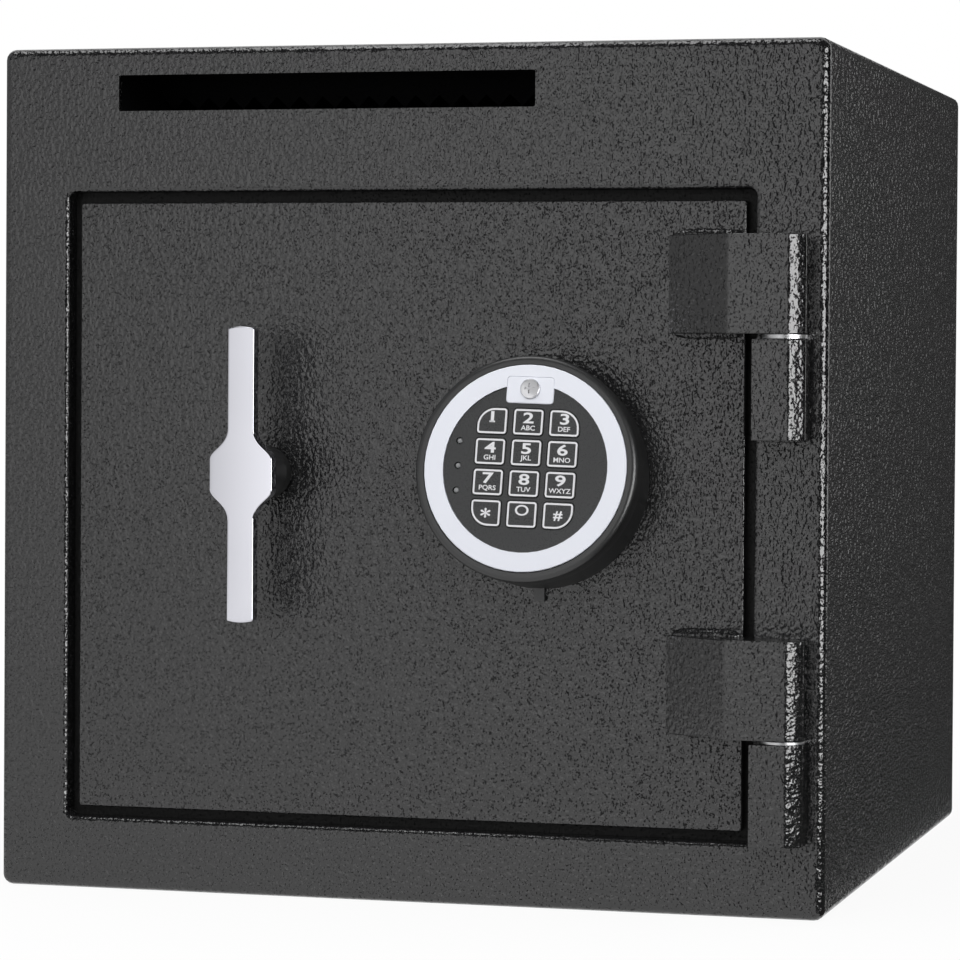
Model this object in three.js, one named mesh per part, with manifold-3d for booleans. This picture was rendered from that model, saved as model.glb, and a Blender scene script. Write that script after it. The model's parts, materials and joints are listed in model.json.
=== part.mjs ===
// Drop safe: a welded steel cube with a recessed, externally hinged door below a fixed drop slot.
//
// Frame: origin on the floor under the middle of the body, +X to the right of someone facing the
// door, +Y from the front face into the body, +Z up. Lengths are in millimetres, angles in degrees.

import * as THREE from 'three';
import { mergeVertices } from 'three/addons/utils/BufferGeometryUtils.js';
import Module from 'manifold-3d';

// Fits and modelling
const SEAT_GAP = 0.3;
const SLIDE_GAP = 0.3;
const CUT_OVERRUN = 1;
const MERGE_DISTANCE = 0.0001;
const CURVE_STEPS = 2;
const FINE_CURVE_STEPS = 7;
const ROUND_STEPS = 28;
const SMALL_ROUND_STEPS = 20;
const EDGE_STEPS = 2;
const RIM_STEPS = 3;

// Body
const BODY_WIDTH = 400;
const BODY_DEPTH = 400;
const BODY_HEIGHT = 400;
const WALL_THICKNESS = 3;
const FRONT_THICKNESS = 4;
const BACK_THICKNESS = 3;
const FRONT_EDGE_RADIUS = 4;
const BODY_CORNER_RADIUS = 5;
const ANCHOR_HOLE_RADIUS = 5;
const ANCHOR_SIDE_INSET = 80;
const ANCHOR_END_INSET = 100;

// Door opening, its return wall and the stop frame that the door closes against
const OPENING_SIDE_INSET = 33.7;
const OPENING_TOP_INSET = 68.4;
const OPENING_BOTTOM = 34.2;
const OPENING_CORNER_RADIUS = 3;
const OPENING_EDGE_RADIUS = 2.5;
const RETURN_THICKNESS = 3;
const STOP_THICKNESS = 5.5;
const STOP_REACH_IN = 10;
const STOP_REACH_OUT = 12;

// Drop slot, deposit chute and anti-fish baffle
const SLOT_WIDTH = 204;
const SLOT_HEIGHT = 17;
const SLOT_SIDE_INSET = 58.8;
const SLOT_TOP_INSET = 13.1;
const SLOT_CORNER_RADIUS = 1;
const CHUTE_SHEET = 1.5;
const CHUTE_SIDE_MARGIN = 6;
const CHUTE_SILL_DROP = 1;
const CHUTE_RAMP_LENGTH = 118;
const CHUTE_RAMP_SLOPE = 12;
const CHUTE_LIP_LENGTH = 28;
const CHUTE_LIP_SLOPE = 55;
const BAFFLE_SETBACK = 62;
const BAFFLE_HEIGHT = 22;
const BAFFLE_LEAN = 18;
const BAFFLE_FLANGE = 14;
const BAFFLE_TOOTH_DEPTH = 6;
const BAFFLE_TOOTH_PITCH = 12;

// Door plate
const DOOR_GAP = 4.8;
const DOOR_RECESS = 3.65;
const DOOR_THICKNESS = 6;
const DOOR_STOP_GAP = 0.85;
const DOOR_CORNER_RADIUS = 1.5;
const DOOR_EDGE_RADIUS = 0.8;

// Hinges: a leaf on the door turns on a pin above a knuckle on the frame
const HINGE_AXIS_INSET = 17.5;
const HINGE_BARREL_RADIUS = 10;
const HINGE_FACE_GAP = 0.5;
const HINGE_LENGTH = 45;
const HINGE_CHAMFER = 6.2;
const HINGE_EDGE_RADIUS = 0.5;
const HINGE_CORNER_RADIUS = 1.2;
const LEAF_REACH = 56.5;
const LEAF_FLAT_REACH = 25;
const LEAF_TOE_THICKNESS = 1.5;
const LEAF_HEEL_CLEARANCE = 1.5;
const LOWER_LEAF_HEIGHT = 44.1;
const UPPER_LEAF_TOP_INSET = 16;
const KNUCKLE_REACH = 14.5;
const WASHER_PROUD = 0.2;
const WASHER_THICKNESS = 2.3;
const PIN_RADIUS = 6;
const PIN_GRIP = 36;

// Handle and keypad both centre on one level of the door
const CONTROLS_RISE = 16.7;
const HANDLE_OFFSET = 67.2;
const KEYPAD_OFFSET = 66;

// Handle
const HANDLE_LENGTH = 136.5;
const HANDLE_ARM_WIDTH = 12.6;
const HANDLE_END_RADIUS = 24;
const HANDLE_HUB_WIDTH = 30.3;
const HANDLE_HUB_FLAT = 14;
const HANDLE_SHOULDER = 14.5;
const HANDLE_THICKNESS = 7;
const HANDLE_STANDOFF = 39;
const HANDLE_CROWN_RADIUS = 140;
const HANDLE_EDGE_RADIUS = 0.9;
const HANDLE_NECK_RADIUS = 9.5;
const HANDLE_COLLAR_RADIUS = 12.5;
const HANDLE_COLLAR_HEIGHT = 7;

// Spindle, bush and cam
const SPINDLE_RADIUS = 5;
const SPINDLE_SQUARE = 7;
const SPINDLE_SQUARE_FIT = 0.2;
const SPINDLE_GRIP = 18;
const BUSH_WALL = 2.6;
const BUSH_FLANGE_RADIUS = 11;
const BUSH_FLANGE_THICKNESS = 1.5;
const CAM_CLEARANCE = 2.35;
const CAM_THICKNESS = 4;
const CAM_HUB_RADIUS = 9;
const CAM_PIN_RADIUS = 3;
const CAM_REST_ANGLE = 45;
const CAM_PIN_RUNOUT = 0.75;

// Boltwork
const BOLT_THROW = 18;
const BOLT_RADIUS = 7;
const BOLT_LENGTH = 40;
const BOLT_STOP_CLEARANCE = 1.5;
const BOLT_REST_PROUD = 4;
const BOLT_END_INSET = 47.4;
const BOLT_TIP_CHAMFER = 1.5;
const CARRIER_SHEET = 4;
const CARRIER_BAR_WIDTH = 20;
const CARRIER_END_INSET = 22.4;
const CARRIER_FLANGE = 14;
const CARRIER_CAM_CLEARANCE = 2;
const CARRIER_SLOT_BORDER = 6;
const TAIL_HEIGHT = 12;

// Pan that covers the boltwork, and the dead bar on its hinge side
const PAN_INSET = 8.3;
const PAN_SHEET = 1.5;
const PAN_LOCK_CLEARANCE = 4.5;
const PAN_CORNER_RADIUS = 3;
const PAN_SCREW_INSET_X = 18;
const PAN_SCREW_INSET_Z = 14;
const PAN_SCREW_RADIUS = 2.5;
const PAN_SCREW_HEAD_RADIUS = 4.6;
const PAN_SCREW_HEAD_HEIGHT = 2.8;
const DEAD_BAR_END_INSET = 25.4;
const DEAD_BAR_SHEET = 4;
const DEAD_BAR_THICKNESS = 6;
const DEAD_BAR_REACH = 14;
const DEAD_BAR_SETBACK = 12.35;

// Lock
const LOCK_WIDTH = 60;
const LOCK_HEIGHT = 60;
const LOCK_DEPTH = 26;
const LOCK_DROP = 3.6;
const LOCK_CORNER_RADIUS = 4;
const LOCK_EDGE_RADIUS = 2;
const LATCH_WIDTH = 16;
const LATCH_THICKNESS = 10;
const LATCH_LENGTH = 32;
const LATCH_REST_PROUD = 2;
const LATCH_TRAVEL = 10;
const LATCH_BITE = 3;

// Keypad: a round housing whose face leans back on a wedge-shaped base
const KEYPAD_LEAN = 8.9;
const KEYPAD_TURN = -1.6;
const KEYPAD_RIM_WIDTH = 4.5;
const KEYPAD_RIM_RADIUS = 2.5;
const HOUSING_THICKNESS = 12;
const BASE_STEP = 0.7;
const BASE_WALL = 3.5;
const BASE_BACK = 2.5;
const BASE_TAB_WIDTH = 5;
const BASE_TAB_DROP = 5.5;
const BASE_TAB_THICKNESS = 2.5;
const CABLE_HOLE_RADIUS = 6;
const RING_WIDTH = 8.9;
const RING_PROUD = 0.3;
const RING_THICKNESS = 2.5;
const RING_EDGE_RADIUS = 0.5;
const TAB_WIDTH = 21.7;
const TAB_KEY_GAP = 2.45;
const TAB_RIM_GAP = 5.9;
const TAB_CORNER_RADIUS = 1.6;
const TAB_SCREW_RISE = 0.6;
const SCREW_HEAD_RADIUS = 4.6;
const SCREW_HEAD_HEIGHT = 1.3;
const SCREW_SHANK_RADIUS = 1.6;
const SCREW_LENGTH = 8;
const SCREW_CROSS_REACH = 2.3;
const SCREW_CROSS_WIDTH = 1.1;
const SCREW_CROSS_DEPTH = 1;
const FACE_SUNK = 0.6;
const FACE_THICKNESS = 1.8;
const FACE_LEDGE = 1.2;
const FACE_MARGIN = 2.1;
const KEY_WIDTH = 14.4;
const KEY_HEIGHT = 12.4;
const KEY_SIDE_GAP = 2.6;
const KEY_ROW_GAP = 1.7;
const KEY_CORNER_RADIUS = 1.7;
const KEY_OUTER_CORNER_RADIUS = 8.5;
const KEY_EDGE_RADIUS = 0.25;
const KEY_PROUD = 0.4;
const KEY_TRAVEL = 0.7;
const KEY_STOP_GAP = 0.4;
const LAMP_RADIUS = 1.35;
const LAMP_OFFSET = 31.8;
const LAMP_PITCH = 11.35;
const LAMP_SUNK = 0.1;
const BOARD_INSET = 1.8;
const BOARD_SCREW_GAP = 1.7;
const BOARD_THICKNESS = 1.6;
const BATTERY_WIDTH = 48;
const BATTERY_HEIGHT = 26;
const BATTERY_THICKNESS = 16.5;
const BATTERY_LOW = 10;
const BATTERY_CORNER_RADIUS = 3;
const BATTERY_EDGE_RADIUS = 1.5;

// Shares of the sizes that they shape
const SHOULDER_HUB_SHARE = 0.3;
const SHOULDER_ARM_SHARE = 0.55;

// Places that several pieces share
const FRONT_Y = -BODY_DEPTH / 2;
const BACK_Y = BODY_DEPTH / 2;
const DOOR_SURFACE_Y = FRONT_Y + DOOR_RECESS;
const OPENING_WIDTH = BODY_WIDTH - 2 * OPENING_SIDE_INSET;
const OPENING_HEIGHT = BODY_HEIGHT - OPENING_TOP_INSET - OPENING_BOTTOM;
const SLOT_CENTRE_X = SLOT_SIDE_INSET + SLOT_WIDTH / 2 - BODY_WIDTH / 2;
const SLOT_BOTTOM = BODY_HEIGHT - SLOT_TOP_INSET - SLOT_HEIGHT;
const DOOR_WIDTH = OPENING_WIDTH - 2 * DOOR_GAP;
const DOOR_HEIGHT = OPENING_HEIGHT - 2 * DOOR_GAP;
const DOOR_BOTTOM = OPENING_BOTTOM + DOOR_GAP;
const CONTROLS_HEIGHT = DOOR_HEIGHT / 2 + CONTROLS_RISE;
const STOP_FRONT_DEPTH = DOOR_RECESS + DOOR_THICKNESS + DOOR_STOP_GAP;
const STOP_BACK_ON_DOOR = DOOR_THICKNESS + DOOR_STOP_GAP + STOP_THICKNESS;
const HINGE_X = BODY_WIDTH / 2 - HINGE_AXIS_INSET;
const HINGE_Y = FRONT_Y - HINGE_BARREL_RADIUS - HINGE_FACE_GAP;
const PAN_WIDTH = OPENING_WIDTH - 2 * (STOP_REACH_IN + PAN_INSET);
const PAN_HEIGHT = OPENING_HEIGHT - 2 * (STOP_REACH_IN + PAN_INSET);
const PAN_FRONT = DOOR_THICKNESS + SEAT_GAP;
const PAN_DEPTH = LOCK_DEPTH + PAN_LOCK_CLEARANCE + PAN_SHEET;
const CAM_FRONT = DOOR_THICKNESS + CAM_CLEARANCE;
const CARRIER_FRONT = CAM_FRONT + CAM_THICKNESS + CARRIER_CAM_CLEARANCE;
const BOLT_DEPTH = STOP_BACK_ON_DOOR + BOLT_STOP_CLEARANCE + BOLT_RADIUS;
const BOLT_TIP_X = -PAN_WIDTH / 2 - BOLT_REST_PROUD;
const CARRIER_LEFT_X = BOLT_TIP_X + BOLT_LENGTH + SEAT_GAP;
const CAM_REACH = BOLT_THROW / 2;
const CAM_PIN_CIRCLE = CAM_REACH / Math.sin(THREE.MathUtils.degToRad(CAM_REST_ANGLE));
const LATCH_LEFT_X = KEYPAD_OFFSET - LATCH_WIDTH / 2;
const LOCK_BOTTOM = CONTROLS_HEIGHT - LOCK_DROP;
const TAIL_TOP = LOCK_BOTTOM - LATCH_REST_PROUD - LATCH_TRAVEL + LATCH_BITE;
const TAIL_CLEAR_TRAVEL = BOLT_THROW * (1 - LATCH_BITE / LATCH_TRAVEL) - SLIDE_GAP;
const BOARD_FRONT = FACE_SUNK + FACE_THICKNESS + KEY_TRAVEL + KEY_STOP_GAP;
const BOARD_BACK = BOARD_FRONT + BOARD_THICKNESS;
const HOUSING_FLOOR = BOARD_BACK + SEAT_GAP;

// The keys by row and column from the upper left
const KEY_ROWS = [
  ['1', '2', '3'],
  ['4', '5', '6'],
  ['7', '8', '9'],
  ['star', '0', 'hash'],
];
const KEY_LINES = KEY_ROWS.length;
const KEY_COLUMNS = KEY_ROWS[0].length;

// The keys set the size of the face, the face that of the ring, and the battery how deep the base is
const KEY_PITCH_X = KEY_WIDTH + KEY_SIDE_GAP;
const KEY_PITCH_Y = KEY_HEIGHT + KEY_ROW_GAP;
const KEYS_HALF_WIDTH = (KEY_COLUMNS * KEY_PITCH_X - KEY_SIDE_GAP) / 2;
const KEYS_HALF_HEIGHT = (KEY_LINES * KEY_PITCH_Y - KEY_ROW_GAP) / 2;
const RING_INNER_RADIUS = Math.hypot(KEYS_HALF_WIDTH, KEYS_HALF_HEIGHT) + FACE_MARGIN;
const RING_OUTER_RADIUS = RING_INNER_RADIUS + RING_WIDTH;
const KEYPAD_RADIUS = RING_OUTER_RADIUS + KEYPAD_RIM_WIDTH;
const BOARD_RADIUS = RING_INNER_RADIUS - BOARD_INSET;
const TAB_BOTTOM = KEYS_HALF_HEIGHT + TAB_KEY_GAP;
const TAB_TOP = RING_OUTER_RADIUS - TAB_RIM_GAP;
const TAB_SCREW_HEIGHT = (TAB_BOTTOM + TAB_TOP) / 2 + TAB_SCREW_RISE;
const BATTERY_BACK = HOUSING_THICKNESS + SEAT_GAP + BATTERY_THICKNESS;
const KEYPAD_STANDOFF = BATTERY_BACK * Math.cos(THREE.MathUtils.degToRad(KEYPAD_LEAN))
  - BATTERY_LOW * Math.sin(THREE.MathUtils.degToRad(KEYPAD_LEAN))
  + BASE_BACK + 2 * SEAT_GAP;

// Finishes
function finish(color, roughness, metalness) {
  return () => new THREE.MeshStandardMaterial({ color, roughness, metalness });
}

const blackPaint = finish(0x3d3e40, 0.5, 0.2);
const chutePaint = finish(0x1c1c1e, 0.4, 0.2);
const brightSteel = finish(0xb9bbbe, 0.3, 0.9);
const zincPlate = finish(0x9ea1a4, 0.4, 0.8);
const chrome = finish(0xd9d9e2, 0.12, 1);
const blackPlastic = finish(0x2c2d2f, 0.55, 0);
const silverPlastic = finish(0xe8ebf3, 0.35, 0.2);
const glossyFace = finish(0x313234, 0.25, 0);
const lampPlastic = finish(0x77797b, 0.3, 0);
const castLock = finish(0x6f7276, 0.45, 0.7);
const boardGreen = finish(0x1f4d33, 0.5, 0);
const batterySkin = finish(0x4a4c50, 0.4, 0.3);

// Solids
const wasm = await Module();
wasm.setup();

function radians(angle) {
  return THREE.MathUtils.degToRad(angle);
}

function solidFrom(geometry) {
  const bare = geometry.clone();
  bare.deleteAttribute('normal');
  bare.deleteAttribute('uv');
  const merged = mergeVertices(bare, MERGE_DISTANCE);
  const corners = merged.index.array;
  const kept = [];
  for (let first = 0; first < corners.length; first += 3) {
    const [a, b, c] = corners.slice(first, first + 3);
    if (a !== b && b !== c && c !== a) kept.push(a, b, c);
  }
  return new wasm.Manifold(new wasm.Mesh({
    numProp: 3,
    vertProperties: new Float32Array(merged.attributes.position.array),
    triVerts: new Uint32Array(kept),
  }));
}

function geometryFrom(solid) {
  const { vertProperties, triVerts } = solid.getMesh();
  const geometry = new THREE.BufferGeometry();
  geometry.setAttribute('position', new THREE.BufferAttribute(new Float32Array(vertProperties), 3));
  geometry.setIndex(new THREE.BufferAttribute(new Uint32Array(triVerts), 1));
  geometry.computeVertexNormals();
  return geometry;
}

function piece(name, solid, material) {
  const mesh = new THREE.Mesh(geometryFrom(solid), material());
  mesh.name = name;
  return mesh;
}

function groupAt(x, y, z) {
  const group = new THREE.Group();
  group.position.set(x, y, z);
  return group;
}

// A block between two corners
function block(low, high) {
  const size = high.map((end, axis) => end - low[axis]);
  const geometry = new THREE.BoxGeometry(...size);
  geometry.translate(...low.map((start, axis) => start + size[axis] / 2));
  return solidFrom(geometry);
}

// A shape extruded along +Z from zero, with its end rims rounded inside the outline
function extruded(shape, length, edgeRadius = 0, curveSteps = CURVE_STEPS) {
  const geometry = new THREE.ExtrudeGeometry(shape, {
    depth: length - 2 * edgeRadius,
    bevelEnabled: edgeRadius > 0,
    bevelThickness: edgeRadius,
    bevelSize: edgeRadius,
    bevelOffset: -edgeRadius,
    bevelSegments: EDGE_STEPS,
    curveSegments: curveSteps,
  });
  geometry.translate(0, 0, edgeRadius);
  return solidFrom(geometry);
}

// The same, but shaped in the XZ plane as seen from the front and extruded along +Y from start
function extrudedBack(shape, start, length, edgeRadius = 0) {
  return extruded(shape, length, edgeRadius).rotate([90, 0, 0]).translate([0, start + length, 0]);
}

// A round bar along +Z from start, with steps sides
function bar(radius, start, length, steps = SMALL_ROUND_STEPS) {
  const geometry = new THREE.CylinderGeometry(radius, radius, length, steps);
  geometry.rotateX(radians(90));
  geometry.translate(0, 0, start + length / 2);
  return solidFrom(geometry);
}

// The same along +Y
function barBack(radius, start, length, steps = SMALL_ROUND_STEPS) {
  return bar(radius, start, length, steps).rotate([-90, 0, 0]);
}

// A profile of [radius, height] points turned about +Z
function turned(profile, steps = ROUND_STEPS) {
  const geometry = new THREE.LatheGeometry(profile.map(([r, h]) => new THREE.Vector2(r, h)), steps);
  geometry.rotateX(radians(90));
  return solidFrom(geometry);
}

// An outline of [x, y, corner radius] points
function outline(corners) {
  const points = corners.map(([x, y]) => new THREE.Vector2(x, y));
  const shape = new THREE.Shape();
  points.forEach((corner, index) => {
    const radius = corners[index][2] ?? 0;
    const before = points.at(index - 1);
    const after = points[(index + 1) % points.length];
    const enter = corner.clone().add(before.clone().sub(corner).setLength(radius));
    const leave = corner.clone().add(after.clone().sub(corner).setLength(radius));
    if (index === 0) shape.moveTo(enter.x, enter.y);
    else shape.lineTo(enter.x, enter.y);
    if (radius > 0) shape.quadraticCurveTo(corner.x, corner.y, leave.x, leave.y);
  });
  shape.closePath();
  return shape;
}

// A rectangle about a centre, with its own radius at each corner from the lower left round
function rectangle(width, height, radii, centreX = 0, centreY = 0) {
  const [lowerLeft, lowerRight, upperRight, upperLeft] = Array.isArray(radii) ? radii : Array(4).fill(radii);
  const left = centreX - width / 2;
  const right = centreX + width / 2;
  const low = centreY - height / 2;
  const high = centreY + height / 2;
  const shape = new THREE.Shape();
  shape.moveTo(left + lowerLeft, low);
  shape.lineTo(right - lowerRight, low);
  shape.absarc(right - lowerRight, low + lowerRight, lowerRight, radians(-90), 0);
  shape.lineTo(right, high - upperRight);
  shape.absarc(right - upperRight, high - upperRight, upperRight, 0, radians(90));
  shape.lineTo(left + upperLeft, high);
  shape.absarc(left + upperLeft, high - upperLeft, upperLeft, radians(90), radians(180));
  shape.lineTo(left, low + lowerLeft);
  shape.absarc(left + lowerLeft, low + lowerLeft, lowerLeft, radians(180), radians(270));
  return shape;
}

// A cutter along +Y whose front end flares, so that it leaves a rounded rim on the front face
function flaredCutter(shape, frontY, length, rimRadius) {
  const geometry = new THREE.ExtrudeGeometry(shape, {
    depth: length,
    bevelEnabled: true,
    bevelThickness: rimRadius,
    bevelSize: -rimRadius,
    bevelOffset: rimRadius,
    bevelSegments: RIM_STEPS,
    curveSegments: CURVE_STEPS,
  });
  geometry.rotateX(radians(90));
  geometry.translate(0, frontY + rimRadius + length, 0);
  return solidFrom(geometry);
}

// Door opening as a rectangle on the front face, grown by a margin
function openingShape(margin, cornerRadius) {
  const centreZ = OPENING_BOTTOM + OPENING_HEIGHT / 2;
  return rectangle(OPENING_WIDTH + 2 * margin, OPENING_HEIGHT + 2 * margin, cornerRadius, 0, centreZ);
}

// Body shell: front face and four walls bent and welded into one, open at the back
function bodyShell() {
  const inside = BODY_WIDTH / 2 - WALL_THICKNESS;
  const outside = extrudedBack(
    rectangle(BODY_WIDTH, BODY_HEIGHT, BODY_CORNER_RADIUS, 0, BODY_HEIGHT / 2),
    FRONT_Y, BODY_DEPTH + 2 * FRONT_EDGE_RADIUS, FRONT_EDGE_RADIUS,
  );
  const behindBack = block(
    [-BODY_WIDTH, BACK_Y, -BODY_HEIGHT],
    [BODY_WIDTH, BACK_Y + BODY_DEPTH, 2 * BODY_HEIGHT],
  );
  const cavity = block(
    [-inside, FRONT_Y + FRONT_THICKNESS, WALL_THICKNESS],
    [inside, BACK_Y + CUT_OVERRUN, BODY_HEIGHT - WALL_THICKNESS],
  );
  const returnBack = STOP_FRONT_DEPTH - SEAT_GAP;
  const returnWall = extrudedBack(
    openingShape(RETURN_THICKNESS, OPENING_CORNER_RADIUS + RETURN_THICKNESS),
    FRONT_Y + FRONT_THICKNESS / 2, returnBack - FRONT_THICKNESS / 2,
  );
  const opening = flaredCutter(
    openingShape(0, OPENING_CORNER_RADIUS), FRONT_Y, returnBack + CUT_OVERRUN, OPENING_EDGE_RADIUS,
  );
  const slot = extrudedBack(
    rectangle(SLOT_WIDTH, SLOT_HEIGHT, SLOT_CORNER_RADIUS, SLOT_CENTRE_X, SLOT_BOTTOM + SLOT_HEIGHT / 2),
    FRONT_Y - CUT_OVERRUN, FRONT_THICKNESS + 2 * CUT_OVERRUN,
  );
  let shell = outside.subtract(behindBack).subtract(cavity).add(returnWall).subtract(opening).subtract(slot);
  const holeX = BODY_WIDTH / 2 - ANCHOR_SIDE_INSET;
  const holeY = BODY_DEPTH / 2 - ANCHOR_END_INSET;
  for (const x of [-holeX, holeX]) {
    for (const y of [-holeY, holeY]) {
      const hole = bar(ANCHOR_HOLE_RADIUS, -CUT_OVERRUN, WALL_THICKNESS + 2 * CUT_OVERRUN);
      shell = shell.subtract(hole.translate([x, y, 0]));
    }
  }
  return piece('body_shell', shell, blackPaint);
}

// Back plate: let into the back of the shell, flush with the ends of its walls
function backPlate() {
  const margin = 2 * (WALL_THICKNESS + SEAT_GAP);
  const plate = extrudedBack(
    rectangle(BODY_WIDTH - margin, BODY_HEIGHT - margin, SEAT_GAP, 0, BODY_HEIGHT / 2),
    BACK_Y - BACK_THICKNESS, BACK_THICKNESS,
  );
  return piece('back_plate', plate, blackPaint);
}

// Door stop: a flat-bar frame behind the return wall, which the bolts also catch behind
function doorStopFrame() {
  const frontY = FRONT_Y + STOP_FRONT_DEPTH;
  const bars = extrudedBack(openingShape(STOP_REACH_OUT, OPENING_CORNER_RADIUS), frontY, STOP_THICKNESS);
  const way = extrudedBack(
    openingShape(-STOP_REACH_IN, OPENING_CORNER_RADIUS),
    frontY - CUT_OVERRUN, STOP_THICKNESS + 2 * CUT_OVERRUN,
  );
  return piece('door_stop_frame', bars.subtract(way), blackPaint);
}

// Deposit chute: a bent ramp from the sill of the slot between two cheeks that hang from the roof
function depositChute() {
  const width = SLOT_WIDTH + 2 * CHUTE_SIDE_MARGIN;
  const roof = BODY_HEIGHT - WALL_THICKNESS - SEAT_GAP - SLOT_BOTTOM;
  const sill = new THREE.Vector2(SEAT_GAP, -CHUTE_SILL_DROP);
  const slope = radians(CHUTE_RAMP_SLOPE);
  const lipSlope = radians(CHUTE_LIP_SLOPE);
  const down = (angle, length) => new THREE.Vector2(Math.cos(angle), -Math.sin(angle)).multiplyScalar(length);
  const bend = sill.clone().add(down(slope, CHUTE_RAMP_LENGTH));
  const end = bend.clone().add(down(lipSlope, CHUTE_LIP_LENGTH));
  const below = new THREE.Vector2(-Math.sin(slope), -Math.cos(slope)).multiplyScalar(CHUTE_SHEET);
  const lipBelow = new THREE.Vector2(-Math.sin(lipSlope), -Math.cos(lipSlope)).multiplyScalar(CHUTE_SHEET);
  const bendBelow = bend.clone().add(below.clone().add(lipBelow).setLength(
    CHUTE_SHEET / Math.cos((lipSlope - slope) / 2),
  ));
  const ramp = outline([
    [sill.x, sill.y],
    [sill.x, sill.y - CHUTE_SHEET / Math.cos(slope)],
    [bendBelow.x, bendBelow.y],
    [end.x + lipBelow.x, end.y + lipBelow.y],
    [end.x, end.y],
    [bend.x, bend.y],
  ]);
  const cheek = outline([
    [sill.x, sill.y - CHUTE_SHEET / Math.cos(slope)],
    [bendBelow.x, bendBelow.y],
    [end.x + lipBelow.x, end.y + lipBelow.y],
    [end.x, roof],
    [sill.x, roof],
  ]);
  const side = (x) => extruded(cheek, CHUTE_SHEET).translate([0, 0, x]);
  const bent = extruded(ramp, width).add(side(0)).add(side(width - CHUTE_SHEET));
  const chute = piece('deposit_chute', bent.rotate([90, 0, 90]), chutePaint);
  chute.position.set(SLOT_CENTRE_X - width / 2, FRONT_Y + FRONT_THICKNESS, SLOT_BOTTOM);
  return chute;
}

// Anti-fish baffle: a toothed plate that hangs from the roof and leans into the chute
function antiFishBaffle() {
  const width = SLOT_WIDTH + 2 * (CHUTE_SIDE_MARGIN - CHUTE_SHEET - SEAT_GAP);
  const teeth = Math.round(width / BAFFLE_TOOTH_PITCH);
  const pitch = width / teeth;
  const edge = [[-width / 2, 0], [width / 2, 0]];
  for (let tooth = teeth; tooth > 0; tooth -= 1) {
    const right = -width / 2 + tooth * pitch;
    edge.push([right, BAFFLE_TOOTH_DEPTH - BAFFLE_HEIGHT]);
    edge.push([right - pitch / 2, -BAFFLE_HEIGHT]);
  }
  edge.push([-width / 2, BAFFLE_TOOTH_DEPTH - BAFFLE_HEIGHT]);
  const lean = radians(BAFFLE_LEAN);
  const plate = extrudedBack(outline(edge), 0, CHUTE_SHEET).rotate([BAFFLE_LEAN, 0, 0]);
  const flangeTop = CHUTE_SHEET * Math.sin(lean);
  const flange = block(
    [-width / 2, 0, flangeTop - CHUTE_SHEET],
    [width / 2, BAFFLE_FLANGE, flangeTop],
  );
  const baffle = piece('anti_fish_baffle', plate.add(flange), chutePaint);
  const roofZ = BODY_HEIGHT - WALL_THICKNESS - SEAT_GAP;
  baffle.position.set(SLOT_CENTRE_X, FRONT_Y + FRONT_THICKNESS + BAFFLE_SETBACK, roofZ - flangeTop);
  return baffle;
}

// Front, chamfer and side that leaf and knuckle share, from the left of the flat to the side
function hingeFront(leftX) {
  return [
    [leftX, -HINGE_BARREL_RADIUS, HINGE_CORNER_RADIUS],
    [HINGE_BARREL_RADIUS - HINGE_CHAMFER, -HINGE_BARREL_RADIUS, HINGE_CORNER_RADIUS],
    [HINGE_BARREL_RADIUS, HINGE_CHAMFER - HINGE_BARREL_RADIUS, HINGE_CORNER_RADIUS],
  ];
}

// Hinge leaf: a wedge on the door that ends in a barrel round the pin, hollow from below
function hingeLeaf(name) {
  const doorSeat = HINGE_BARREL_RADIUS + HINGE_FACE_GAP + DOOR_RECESS - SEAT_GAP;
  const heelX = HINGE_AXIS_INSET - BODY_WIDTH / 2 + DOOR_WIDTH / 2 - LEAF_HEEL_CLEARANCE;
  const wedge = outline([
    [-LEAF_REACH, doorSeat],
    [-LEAF_REACH, doorSeat - LEAF_TOE_THICKNESS],
    ...hingeFront(-LEAF_FLAT_REACH),
    [HINGE_BARREL_RADIUS, 0],
    [0, HINGE_BARREL_RADIUS],
    [heelX, HINGE_BARREL_RADIUS, HINGE_CORNER_RADIUS],
    [heelX, doorSeat],
  ]);
  const barrelLength = HINGE_LENGTH - 2 * HINGE_EDGE_RADIUS;
  const barrel = bar(HINGE_BARREL_RADIUS, HINGE_EDGE_RADIUS, barrelLength, ROUND_STEPS);
  const bore = bar(PIN_RADIUS + SLIDE_GAP, -CUT_OVERRUN, PIN_GRIP + CUT_OVERRUN);
  return piece(name, extruded(wedge, HINGE_LENGTH, HINGE_EDGE_RADIUS).add(barrel).subtract(bore), blackPaint);
}

// Body knuckle: a block welded to the front face, bored for the pin from above
function bodyKnuckle(name) {
  const faceSeat = HINGE_BARREL_RADIUS + HINGE_FACE_GAP - SEAT_GAP;
  const section = outline([
    [-KNUCKLE_REACH, faceSeat],
    ...hingeFront(-KNUCKLE_REACH),
    [HINGE_BARREL_RADIUS, faceSeat],
  ]);
  const bore = bar(PIN_RADIUS + SEAT_GAP, HINGE_LENGTH - PIN_GRIP, PIN_GRIP + CUT_OVERRUN);
  return piece(name, extruded(section, HINGE_LENGTH, HINGE_EDGE_RADIUS).subtract(bore), blackPaint);
}

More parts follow.
